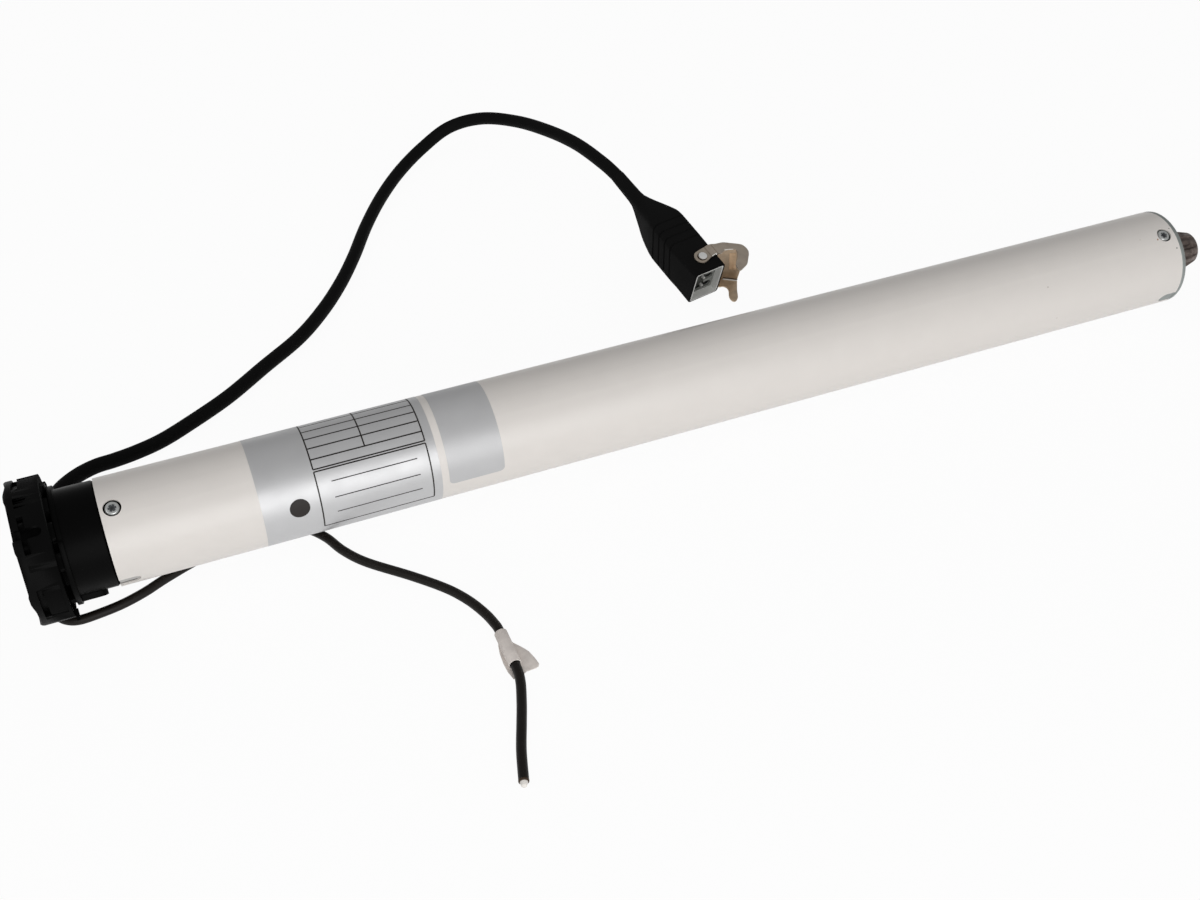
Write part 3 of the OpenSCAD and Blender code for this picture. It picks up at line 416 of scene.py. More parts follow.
def softened(piece: Object, width: float) -> Object:
    """Round the sharp edges of a piece, so that they catch the light."""
    return smoothed(bevelled(piece, width, 2, 38, miter_outer="MITER_ARC"), 32)


def cut(piece: Object, tool: Object) -> None:
    """Take a closed shape out of a piece, and drop the shape.

    Args:
        piece: Mesh object to cut.
        tool: The shape.
    """
    apply_modifier(piece, "BOOLEAN", operation="DIFFERENCE", object=tool, solver="EXACT")
    pick(tool)
    bpy.ops.object.delete()


def joined(pieces: list[Object]) -> Object:
    """Join objects into the first one.

    Args:
        pieces: Mesh objects.

    Returns:
        The first object.
    """
    pick(pieces[0])
    for piece in pieces[1:]:
        piece.select_set(True)
    bpy.ops.object.join()
    return pieces[0]


def merged(piece: Object) -> Object:
    """Merge doubled corners and turn the faces outward.

    Args:
        piece: Mesh object.

    Returns:
        The piece.
    """
    edit(piece)
    bpy.ops.mesh.remove_doubles(threshold=MERGE)
    bpy.ops.mesh.normals_make_consistent(inside=False)
    return pick(piece)


def copied(node: str) -> Object:
    """Copy a CAD node, with its corners merged and its flat faces whole.

    Args:
        node: Name of the node.

    Returns:
        The copy.
    """
    piece = linked(node + "_copy", frame["nodes"][node].data.copy())
    edit(piece)
    bpy.ops.mesh.remove_doubles(threshold=MERGE)
    bpy.ops.mesh.dissolve_limited(angle_limit=math.radians(0.4))
    return pick(piece)


def section(width: float, height: float, corner: float, matrix: Matrix, depth: float = 0.0) -> Object:
    """Make a rounded rectangle as a ring of edges or, with a depth, as a solid bar.

    Args:
        width: Size across, in millimetres.
        height: Size up, in millimetres.
        corner: Radius of its corners.
        matrix: Its place; the bar runs along the local z.
        depth: Length of the bar, or nothing for a ring.

    Returns:
        The ring or bar, in its place.
    """
    deselect()
    bpy.ops.mesh.primitive_plane_add(size=1)
    piece = scaled(bpy.context.object, (width * MM, height * MM, 1))
    edit(piece)
    bpy.ops.mesh.bevel(offset=corner * MM, segments=8, affect="VERTICES")
    select_all()
    if depth:
        bpy.ops.mesh.extrude_region_move(TRANSFORM_OT_translate={"value": (0, 0, depth * MM)})
        select_all()
        bpy.ops.mesh.normals_make_consistent(inside=False)
    else:
        bpy.ops.mesh.delete(type="ONLY_FACE")
    return placed(piece, matrix)


def round_bar(vertices: int, radii: Pair, z: Pair, matrix: Matrix) -> Object:
    """Make a round bar or a cone along the local z.

    Args:
        vertices: Corners of its section.
        radii: Radius at its lower and upper end, in millimetres.
        z: Both ends.
        matrix: Its place.

    Returns:
        The bar.
    """
    deselect()
    bpy.ops.mesh.primitive_cone_add(vertices=vertices, radius1=radii[0] * MM, radius2=radii[1] * MM,
                                    depth=(z[1] - z[0]) * MM)
    return placed(bpy.context.object, matrix @ shift(0, 0, sum(z) / 2))


def wrapped_patch(x: Pair, angle: Pair, radius: float, corner: float = 0.0) -> Object:
    """Make a thin patch that lies round the motor's axis.

    Args:
        x: Both ends along the axis, in millimetres.
        angle: Lower and upper edge, in degrees from the front over the top.
        radius: Radius that it lies on, in millimetres.
        corner: Radius of its corners, in millimetres.

    Returns:
        The patch, at the origin.
    """
    span = math.radians(angle[1] - angle[0])
    height = span * radius
    deselect()
    bpy.ops.mesh.primitive_plane_add(size=1, rotation=(math.pi / 2, 0, 0))
    piece = scaled(bpy.context.object, ((x[1] - x[0]) * MM, height * MM, 1))
    edit(piece)
    if corner:
        bpy.ops.mesh.bevel(offset=corner * MM, segments=8, affect="VERTICES")
    strips = max(1, round(height / PATCH_STRIP))
    for k in range(1, strips):
        select_all()
        bpy.ops.mesh.bisect(plane_co=(0, 0, (k / strips - 0.5) * height * MM), plane_no=(0, 0, 1))
    apply_modifier(piece, "SIMPLE_DEFORM", deform_method="BEND", deform_axis="X", angle=span)
    apply_modifier(piece, "SOLIDIFY", thickness=PATCH_THICK * MM, offset=1.0)
    middle = shift(sum(x) / 2, 0, 0) @ turn(-sum(angle) / 2, "X") @ shift(0, -radius, 0)
    return smoothed(placed(piece, middle), 30)


def smooth_route(points: list[Point], steps: int) -> list[Vector]:
    """Run a smooth curve through route points.

    Args:
        points: Route points in millimetres.
        steps: Points that each span gets.

    Returns:
        Points of the curve in metres.
    """
    p = [Vector(q) * MM for q in points]
    made = []
    for i in range(len(p) - 1):
        a, b, c, d = p[max(i - 1, 0)], p[i], p[i + 1], p[min(i + 2, len(p) - 1)]
        for k in range(steps):
            t = k / steps
            made.append(0.5 * (2 * b + (c - a) * t + (2 * a - 5 * b + 4 * c - d) * t * t
                               + (3 * b - a - 3 * c + d) * t ** 3))
    return made + [p[-1]]


def line_curve(name: str, points: list[Vector], radius: float = 0.0, closed: bool = False) -> Object:
    """Make a curve of straight spans, which is a round cord where it has a radius.

    Args:
        name: Name of the object.
        points: Its points in metres.
        radius: Radius of the cord, in millimetres.
        closed: True where its end meets its start.

    Returns:
        The curve object.
    """
    data = bpy.data.curves.new(name, "CURVE")
    data.dimensions = "3D"
    if radius:
        data.bevel_depth = radius * MM
        data.bevel_resolution = 5
        data.use_fill_caps = True
    spline = data.splines.new("POLY")
    spline.points.add(len(points) - 1)
    for place, q in zip(spline.points, points):
        place.co = (*q, 1.0)
    spline.use_smooth = True
    spline.use_cyclic_u = closed
    return linked(name, data)


def as_mesh(piece: Object) -> Object:
    """Turn a curve into a closed mesh.

    Args:
        piece: Curve object.

    Returns:
        The mesh object.
    """
    pick(piece)
    bpy.ops.object.convert(target="MESH")
    return merged(bpy.context.object)


def settle(piece: Object, name: str, slot: str, look: str, *nodes: str, body: Body = Body.ROOT) -> Object:
    """Name a piece, dress it and hang it on its body.

    Args:
        piece: The finished object, at the origin.
        name: Its name.
        slot: The record's material slot; not used.
        look: Name of its finish.
        nodes: CAD nodes that it stands for.
        body: Body that it rides on.

    Returns:
        The piece.
    """
    piece.name = name
    piece.data.name = name
    piece.data.materials.clear()
    piece.data.materials.append(PALETTE[look])
    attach(piece, body.value)
    if nodes:
        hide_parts(*nodes)
    LOG.info("piece %s rides on %s", name, body.value)
    return piece


@dataclass
class Studio:
    """Table, soft light and the camera at the photograph's angle."""

    head_r: float = 38.0
    tube_r: float = 29.0
    head_edge: float = 20.0
    tube_end: float = 699.0
    table: float = 24000.0
    eye: Point = (75.2, -607.1, 563.0)
    aim: Point = (320.4, 0.0, -36.6)
    lens: float = 45.6
    sky: float = 0.395
    lit: Point = (300.0, 0.0, 0.0)
    boxes: tuple[tuple[str, Point, float, float], ...] = (
        ("front_box", (250, -1500, 480), 1.1, 12.9), ("left_box", (-1300, -300, 900), 0.9, 3.8))

    def rest_z(self, x: float) -> float:
        """Give the height of the table under a point of the axis, in millimetres."""
        slope = (self.head_r - self.tube_r) / (self.tube_end - self.head_edge)
        return -self.head_r + slope * (x - self.head_edge)

    def laid(self, route: Route) -> list[Point]:
        """Set route points at their lifts above the table."""
        return [(x, y, self.rest_z(x) + lift) for x, y, lift in route]

    def camera(self) -> None:
        """Set the camera."""
        data = bpy.data.cameras.new("camera")
        data.lens = self.lens
        data.sensor_width = 36.0
        data.clip_start = 0.01
        data.clip_end = 60.0
        eye = linked("camera", data)
        eye.matrix_world = aimed(Vector(self.eye) * MM, Vector(self.aim) - Vector(self.eye), "-Z")
        bpy.context.scene.camera = eye

    def floor(self) -> None:
        """Lay the pale table top on the plane that head and tube touch."""
        deselect()
        bpy.ops.mesh.primitive_plane_add(size=1)
        top = bpy.context.object
        top.name = "table_top"
        for v in top.data.vertices:
            x, y = v.co.x * self.table, v.co.y * self.table
            v.co = Vector((x, y, self.rest_z(x))) * MM
        material = bpy.data.materials.new("table_top")
        material.use_nodes = True
        tree = material.node_tree
        shader = feed(tree, tree.nodes["Principled BSDF"], {
            "Base Color": linear("#F4F4F4"), "Roughness": 0.9, "Specular IOR Level": 0.1})
        seen = add_node(tree, "ShaderNodeLightPath")
        either = add_node(tree, "ShaderNodeMath", {
            0: seen.outputs["Is Camera Ray"], 1: seen.outputs["Is Glossy Ray"]}, operation="MAXIMUM")
        share = add_node(tree, "ShaderNodeMath", {0: either.outputs[0], 1: 0.95}, operation="MULTIPLY")
        white = add_node(tree, "ShaderNodeEmission", {"Color": (1, 1, 1, 1), "Strength": 1.0})
        mixed = add_node(tree, "ShaderNodeMixShader", {
            0: share.outputs[0], 1: shader.outputs[0], 2: white.outputs[0]})
        feed(tree, tree.nodes["Material Output"], {"Surface": mixed.outputs[0]})
        top.data.materials.append(material)

    def light(self) -> None:
        """Set an even sky, a wide soft box in front and a weak one from the left."""
        world = bpy.data.worlds.new("sky")
        bpy.context.scene.world = world
        world.use_nodes = True
        tree = world.node_tree
        even = feed(tree, tree.nodes["Background"], {"Color": (1, 1, 1, 1), "Strength": self.sky})
        white = add_node(tree, "ShaderNodeBackground", {"Color": (1, 1, 1, 1), "Strength": 1.0})
        seen = add_node(tree, "ShaderNodeLightPath").outputs["Is Camera Ray"]
        mixed = add_node(tree, "ShaderNodeMixShader", {0: seen, 1: even.outputs[0], 2: white.outputs[0]})
        feed(tree, tree.nodes["World Output"], {"Surface": mixed.outputs[0]})
        for name, place, size, power in self.boxes:
            data = bpy.data.lights.new(name, "AREA")
            data.shape = "SQUARE"
            data.size = size
            data.energy = power
            spot = Vector(place) * MM
            linked(name, data).matrix_world = aimed(spot, Vector(self.lit) * MM - spot, "-Z")

    def build(self) -> None:
        """Make camera, table and light."""
        bpy.context.scene.view_settings.view_transform = "Standard"
        self.camera()
        self.floor()
        self.light()


@dataclass
class MainsCord:
    """Round mains cord from the head's boot to the plug."""

    studio: Studio
    radius: float = 4.4
    outlet_x: float = 14.5
    outlet_angle: float = 205.0
    boot_tip: float = 58.3
    straight: float = 7.0
    plug_x: float = 433.0
    plug_y: float = 101.7
    plug_turn: float = 12.5
    plug_pitch: float = 15.0
    plug_lift: float = 5.0
    plug_end: Point = (0.8, 104.0, 13.2)
    route: Route = (
        (16.4, 67.5, 7.2), (20.9, 76.2, 5), (27.6, 83.6, 4.5), (36.3, 89.2, 4.4), (46, 92.4, 4.4),
        (56, 93.2, 4.4), (69, 95.2, 4.4), (84, 99.4, 4.4), (101, 107.6, 4.4), (128, 123, 4.4),
        (155, 143, 4.4), (182, 163, 4.4), (203, 185, 4.4), (221, 209, 4.4), (237, 235, 4.4),
        (254, 266, 4.4), (273, 295.5, 4.6), (294.3, 321, 6), (317.5, 338.5, 10.4), (340, 343, 19.6),
        (361, 331, 28.4), (379, 305.5, 35.7), (392, 274.5, 42), (401, 242, 47.3), (408.1, 211.5, 48))

    def plug_matrix(self) -> Matrix:
        """Give the frame of the plug: its mouth's lower middle, turned and pitched."""
        spot = shift(self.plug_x, self.plug_y, self.studio.rest_z(self.plug_x) + self.plug_lift)
        return spot @ turn(self.plug_turn, "Z") @ turn(self.plug_pitch, "X")

    def points(self) -> list[Vector]:
        """Give the cord's centre line in metres."""
        ends = [radial(self.outlet_x, self.outlet_angle, self.boot_tip + k) for k in (0, self.straight)]
        ends.append(self.plug_matrix() @ shift(*self.plug_end))
        first, second, last = [tuple(place.translation / MM) for place in ends]
        return smooth_route([first, second] + self.studio.laid(self.route) + [last], 10)

    def build(self, on_it: list[Object]) -> None:
        """Args:
            on_it: Pieces that hang on the cord; not used.
        """
        line = self.points()
        piece = line_curve("mains_cord", line, self.radius)
        settle(piece, "mains_cord", "cord_rubber", "jacket", "power_cord")


@dataclass
class AerialLead:
    """Thin aerial lead that leaves the head, passes under the tube and ends bare.

    Each of its two ends has heights, radii and the width of its rounding.
    """

    studio: Studio
    radius: float = 2.6
    start: Point = (9.4, -63.5, 36.4)
    ends: tuple[tuple[Pair, Pair, float], ...] = (
        ((-0.9, 0.15), (2.72, 2.6), 0.3), ((0.0, 2.7), (2.1, 1.3), 0.5))
    route: Route = (
        (11.4, -17.4, 4.4), (14.2, -19.3, 3.2), (18.2, -20.9, 2.7), (24, -21.3, 2.6), (37, -19.8, 2.6),
        (46, -17.8, 2.6), (56, -14.3, 2.6), (68, -8.8, 2.6), (88, -1.2, 2.6), (110, 5, 2.6),
        (124, 6.5, 2.6), (137, 4, 2.6), (147, -3.5, 2.6), (154, -13, 2.6), (160, -26, 2.6),
        (169.5, -39.3, 2.6), (189, -58.3, 2.6), (203, -73.5, 2.6), (211, -85.5, 2.6), (216, -97, 2.8),
        (218.5, -106.5, 3.2), (219.3, -114, 3.4), (219.3, -137, 3.4), (218.3, -147, 3.2),
        (214.3, -160, 2.6), (210.0, -171.8, 2.6), (204.5, -186.8, 2.6), (199.6, -203.8, 2.6))

    def points(self) -> list[Vector]:
        """Give the lead's centre line in metres."""
        start = radial(*self.start).translation / MM
        return smooth_route([tuple(start)] + self.studio.laid(self.route), 10)

    def bare_end(self, line: list[Vector]) -> list[Object]:
        """Make the cut end: a brown ring of the jacket and the white core that comes out of it.

        Args:
            line: The lead's centre line in metres.

        Returns:
            Both pieces.
        """
        place = aimed(line[-1], line[-1] - line[-4], "Z")
        made = []
        for z, radii, edge in self.ends:
            piece = bevelled(round_bar(32, radii, z, Matrix()), edge, 4, 40)
            made.append(smoothed(placed(piece, place), 40))
        ring, core = made
        return [settle(ring, "aerial_jacket_end", "cord_rubber", "brown"),
                settle(core, "aerial_core_end", "white_core", "core", "aerial_core")]

    def build(self, on_it: list[Object]) -> None:
        """Args:
            on_it: Pieces on the lead.
        """
        line = self.points()
        piece = line_curve("aerial_wire", line, self.radius)
        settle(piece, "aerial_wire", "cord_rubber", "lead", "aerial_lead")
        on_it + self.bare_end(line)


@dataclass
class Shell:
    """Head, ring and drive end: CAD shapes with their edges rounded, and one notch in the head's rim."""

    notch: Point = (8.2, 138.0, 36.6)
    notch_size: Point = (2.6, 17.0, 0.4)
    notch_depth: float = 6.0
    rows: tuple[tuple[str, Body, str, str, float], ...] = (
        ("motor_head", Body.ROOT, "black_plastic", "black", 0.35),
        ("running_ring", Body.RING, "black_plastic", "ring", 0.35),
        ("output_flange", Body.ROOT, "zinc_casting", "casting", 0.2),
        ("output_shaft", Body.OUTPUT, "dark_steel", "dark_steel", 0.25),
        ("cord_boot", Body.ROOT, "cord_rubber", "jacket", 0.25),
        ("bail_pins", Body.ROOT, "zinc_plate", "rivet", 0.2),
        ("aerial_tag", Body.ROOT, "paper", "paper", 0.12))

    def build(self) -> None:
        """Round and dress the outer pieces."""
        for node, body, slot, look, width in self.rows:
            piece = copied(node)
            if node == "motor_head":
                cut(piece, section(*self.notch_size, radial(*self.notch), self.notch_depth))
            settle(softened(piece, width), node + "_shell", slot, look, node, body=body)


@dataclass
class HeadFront:
    """Front cover of the head, flat with a scalloped edge, and the inserts flush with it."""

    face: float = 2.6
    dish_r: float = 14.0
    dish_depth: float = 1.2
    scallops: int = 8
    first: float = 26.0
    scallop_r: float = 41.0
    scallop_low: float = 4.4
    rim: Pair = (31.0, 42.0)

    def trimmed(self, node: str) -> Object:
        """Copy a node and end it at the flat face.

        Args:
            node: Name of the node.

        Returns:
            The copy.
        """
        piece = copied(node)
        edit(piece)
        face = (self.face * MM, 0, 0)
        bpy.ops.mesh.bisect(plane_co=face, plane_no=(1, 0, 0), clear_inner=True, use_fill=True)
        return merged(piece)

    def build(self) -> None:
        """Make the cover and the inserts."""
        cover = self.trimmed("head_cover")
        dish = (-self.dish_depth, self.dish_depth)
        cut(cover, round_bar(96, (self.dish_r,) * 2, dish, shift(self.face, 0, 0) @ turn(90, "Y")))
        for k in range(self.scallops):
            place = radial(self.scallop_low - self.scallop_r, self.first + 360 / self.scallops * k)
            cut(cover, round_bar(96, (self.scallop_r,) * 2, self.rim, place))
        settle(softened(cover, 0.35), "head_cover_front", "black_plastic", "black", "head_cover")
        inserts = softened(self.trimmed("head_inserts"), 0.2)
        settle(inserts, "head_insert_ends", "bronze_sheet", "bronze", "head_inserts")


@dataclass
class SlotKey:
    """Face of the casting that shows in the tube's slot near the head."""

    x: Pair = (45.2, 55.2)
    angle: Pair = (-30.2, -18.8)
    radius: float = 28.24

    def build(self) -> None:
        """Lay the face in the slot."""
        piece = wrapped_patch(self.x, self.angle, self.radius)
        settle(piece, "slot_key", "zinc_plate", "key")


@dataclass
class Labels:
    """Two foil labels on the tube, with ruled frames and a plain round mark.

    Each label has its ends along the tube, its edges round the tube, and the radius of its corners.
    """

    tube_r: float = 29.0
    lift: float = 0.03
    print_lift: float = 0.075
    rule: float = 0.55
    border: float = 0.75
    large: tuple[Pair, Pair, float] = ((121.8, 217.8), (-48.0, 150.0), 1.5)
    small: tuple[Pair, Pair, float] = ((221.8, 253.0), (-6.8, 132.0), 3.0)
    frame: Pair = (152.3, 212.8)
    inside: Pair = (160.0, 206.5)
    divider_x: float = 181.5
    lower: Pair = (-20.8, 48.4)
    upper: Pair = (51.0, 128.0)
    rules: tuple[float, ...] = (35.0, 17.2, -1.2)
    rows: tuple[float, ...] = (61.7, 74.6, 87.6, 100.6, 114.6)
    dot: Point = (141.1, 15.0, 10.7)

    def mark(self, x: Pair, angle: Pair, corner: float = 0.0) -> Object:
        """Make one printed patch."""
        return wrapped_patch(x, angle, self.tube_r + self.print_lift, corner)

    def band(self, angle: float, width: float) -> Pair:
        """Give the edges of a patch that runs along the tube."""
        half = math.degrees(width / 2 / self.tube_r)
        return (angle - half, angle + half)

    def ends(self, x: float, width: float) -> Pair:
        """Give the ends of a patch that runs round the tube."""
        return (x - width / 2, x + width / 2)

    def printed(self) -> Object:
        """Make the ruled frames and the round mark."""
        lines = (*self.lower, self.upper[0], *self.rows)
        made = [self.mark(self.frame, self.band(a, self.border)) for a in lines]
        made += [self.mark(self.inside, self.band(a, self.rule)) for a in self.rules]
        made += [self.mark(self.ends(x, self.border), edge)
                 for x in self.frame for edge in (self.lower, self.upper)]
        made.append(self.mark(self.ends(self.divider_x, self.border), (self.rows[0], self.upper[1])))
        x, angle, width = self.dot
        made.append(self.mark(self.ends(x, width), self.band(angle, width), width / 2 - 0.02))
        return joined(made)

    def build(self) -> None:
        """Make both labels and the print."""
        rows = (self.large, "large_label", "foil"), (self.small, "small_label", "film")
        for (x, angle, corner), name, look in rows:
            piece = wrapped_patch(x, angle, self.tube_r + self.lift, corner)
            settle(piece, name, "shield_can", look)
        settle(self.printed(), "label_rules", "dark_component", "ink")


@dataclass
class PanScrew:
    """Pan-head screw set radially in the tube, with a six-lobe socket."""

    x: float
    angle: float
    head_r: float = 3.7
    head_top: float = 28.75
    head_h: float = 2.4
    dome: float = 1.1
    burr: float = 0.12
    shank_r: float = 2.0
    shank_len: float = 6.0
    shank_edge: float = 0.4
    overlap: float = 0.2
    lobe: Point = (4.3, 1.5, 0.3)
    deep: float = 1.5
    # Share of the socket that the dark fill of painted shade takes up, and the play round it.
    filled: float = 0.65
    play: float = 0.06

    def lobes(self, top: float, inset: float) -> list[Object]:
        """Make the three crossing bars of the socket.

        Args:
            top: Upper end, from the motor's axis.
            inset: How much smaller they are all round.

        Returns:
            The bars, about the local z.
        """
        long, wide, corner = self.lobe
        bottom = self.head_top - self.deep
        return [section(long - 2 * inset, wide - 2 * inset, corner, shift(0, 0, bottom) @ turn(step, "Z"),
                        top - bottom) for step in (0, 60, 120)]

    def build(self) -> Object:
        """Make the screw at its place in the tube."""
        low = self.head_top - self.head_h
        head = bevelled(round_bar(48, (self.head_r,) * 2, (low, self.head_top), Matrix()), self.dome, 6, 50)
        for bar in self.lobes(self.head_top + 1, 0.0):
            cut(head, bar)
        bevelled(head, self.burr, 2, 50)
        ends = (low - self.shank_len, low + self.overlap)
        shank = bevelled(round_bar(48, (self.shank_r,) * 2, ends, Matrix()), self.shank_edge, 6, 50)
        return smoothed(placed(joined([head, shank]), radial(self.x, self.angle)), 30)

    def socket_shade(self) -> Object:
        """Make the dark fill in the bottom of the socket, painted shade."""
        bars = self.lobes(self.head_top - (1 - self.filled) * self.deep, self.play)
        return placed(joined(bars), radial(self.x, self.angle))


@dataclass
class Screws:
    """The screws that hold head and flange in the tube, two opposite ones each."""

    angle: float = 66.0
    head_x: float = 51.4
    flange_x: float = 691.8

    def build(self) -> None:
        """Make both pairs."""
        for x, name in ((self.head_x, "head_screws"), (self.flange_x, "flange_screws")):
            pair = [PanScrew(x, self.angle + step) for step in (0, 180)]
            settle(joined([screw.build() for screw in pair]), name + "_pan", "zinc_plate", "zinc", name)
            # Dark fill in the sockets, painted shade.
            socket_shade_bars = joined([screw.socket_shade() for screw in pair])
            settle(socket_shade_bars, name + "_sockets", "dark_component", "socket_shade")


@dataclass
class Plug:
    """Moulded plug with a hollow mouth, its pale lining and its contacts."""

    cord: MainsCord
    mid: float = 13.2
    nose: Rows = (
        (0.0, 23.1, 25.7, 1.8, 0), (0.4, 23.8, 26.4, 2.1, 0), (14.0, 24.5, 26.4, 3.0, 0))
    grip: Point = (25.2, 28.0, 4.2)
    lean: float = 15.0
    grooves: tuple[float, ...] = (24.4, 30.6, 36.8, 43.2)
    groove: Point = (0.75, 0.45, 0.6)
    tail: Rows = (
        (48.0, 24.9, 27.7, 4.6, 13, 0.2), (52.0, 24.0, 27.0, 5.2, 9, 0.5), (56.0, 22.7, 25.6, 5.8, 4, 0.7),
        (60.0, 21.0, 23.8, 6.3, 0, 0.9), (65.0, 18.5, 20.8, 6.7, 0, 0.9), (70.0, 15.8, 17.4, 6.6, 0, 0.8),
        (75.0, 12.9, 13.8, 5.8, 0, 0.8), (79.5, 10.6, 10.8, 5.0, 0, 0.8), (84.0, 9.8, 9.8, 4.7, 0, 0.8),
        (94.0, 9.4, 9.4, 4.6, 0, 0.8), (104.0, 9.0, 9.0, 4.4, 0, 0.8))
    mouth: Point = (21.2, 25.0, 1.6)
    mouth_depth: float = 26.0
    lining: Pair = (0.05, 6.4)
    wall: float = 0.8
    face: float = 5.0
    chamber: Point = (18.0, 5.2, 2.4)
    chamber_x: float = -0.6
    pocket: Point = (11.6, 21.4, 1.5)
    pocket_x: float = -3.9
    bore: float = 12.0
    core_gap: float = 1.6
    rows: tuple[float, ...] = (20.5, 13.1, 5.7)
    contact: Point = (1.4, 2.2, 14.0)
    contact_at: Point = (2.8, 5.8, -2.3)

    def at(self, back: float, lean: float = 0.0, x: float = 0.0, z: float | None = None) -> Matrix:
        """Give the place of a section that looks along the plug.

        Args:
            back: Distance from the mouth.
            lean: Degrees that its top leans back.
            x: Shift across.
            z: Height on the plug, or its middle.

        Returns:
            Its matrix.
        """
        height = self.mid if z is None else z
        return self.cord.plug_matrix() @ shift(x, back, height) @ turn(-90 - lean, "X")

    def rings(self) -> list[tuple[float, ...]]:
        """List the sections: back, width, height, corner, lean and shift."""
        width, height, corner = self.grip
        half, floor, depth = self.groove
        made = [(*row, 0.0) for row in self.nose]
        for y in self.grooves:
            for step, drop in ((-half, 0.0), (-floor, depth), (floor, depth), (half, 0.0)):
                made.append((y + step, width - 2 * drop, height - 2 * drop, corner, self.lean, 0.0))
        return made + list(self.tail)

    def body(self) -> Object:
        """Loft the sections, close both ends and hollow the mouth."""
        piece = joined([section(w, h / math.cos(math.radians(lean)), corner, self.at(back, lean, x))
                        for back, w, h, corner, lean, x in self.rings()])
        edit(piece)
        bpy.ops.mesh.bridge_edge_loops()
        select_all()
        bpy.ops.mesh.fill_holes(sides=0)
        select_all()
        bpy.ops.mesh.normals_make_consistent(inside=False)
        cut(piece, section(*self.mouth, self.at(-1.0), self.mouth_depth + 1))
        return smoothed(piece, 30)

    def filling(self, play: float, back: float, depth: float) -> Object:
        """Make a bar that fills the mouth but for some play."""
        width, height, corner = self.mouth
        return section(width - play, height - play, corner, self.at(back), depth)

    def liner(self) -> Object:
        """Make the frame of the lining, which is flush with the mouth."""
        width, height, corner = self.mouth
        front = self.lining[0]
        piece = self.filling(0.1, front, self.face - front + 0.2)
        opening = (width - 2 * self.wall, height - 2 * self.wall, corner - 0.5)
        cut(piece, section(*opening, self.at(-1.0), self.face + 3))
        return smoothed(piece, 30)

    def chambers(self) -> Object:
        """Make the recessed face with its three chambers."""
        piece = self.filling(0.2, self.face + 0.2, self.lining[1] - self.face)
        cut(piece, section(*self.pocket, self.at(1.0, x=self.pocket_x), self.bore))
        for z in self.rows:
            cut(piece, section(*self.chamber, self.at(1.0, x=self.chamber_x, z=z), self.bore))
        return smoothed(piece, 30)

    def core(self) -> Object:
        """Make the moulding behind the chambers, whose dark grey is painted shade."""
        piece = self.filling(0.2, self.lining[1] + self.core_gap, self.bore)
        return smoothed(softened(piece, 0.3), 30)

    def contacts(self) -> Object:
        """Make the three spring blades in the chambers."""
        width, thick, long = self.contact
        x, back, drop = self.contact_at
        blades = [section(width, thick, 0.3, self.at(back, x=x, z=z + drop), long) for z in self.rows]
        return joined([smoothed(bevelled(blade, 0.25, 2, 60), 40) for blade in blades])

    def build(self) -> list[Object]:
        """Make the plug's pieces."""
        # Lining, face and core are one pale moulding in three tones: lighter at the mouth as painted light,
        # darker deeper in as painted shade.
        rows = ((self.body(), "plug_housing_loft", "black_plastic", "plug", "plug_housing"),
                (self.liner(), "plug_insert_lining", "pale_plastic", "lining", "plug_insert"),
                (self.chambers(), "plug_insert_face", "pale_plastic", "face"),
                (self.core(), "plug_insert_core", "pale_plastic", "deep"),
                (self.contacts(), "plug_contact_blades", "zinc_plate", "rivet", "plug_contacts"))
        return [settle(*row) for row in rows]


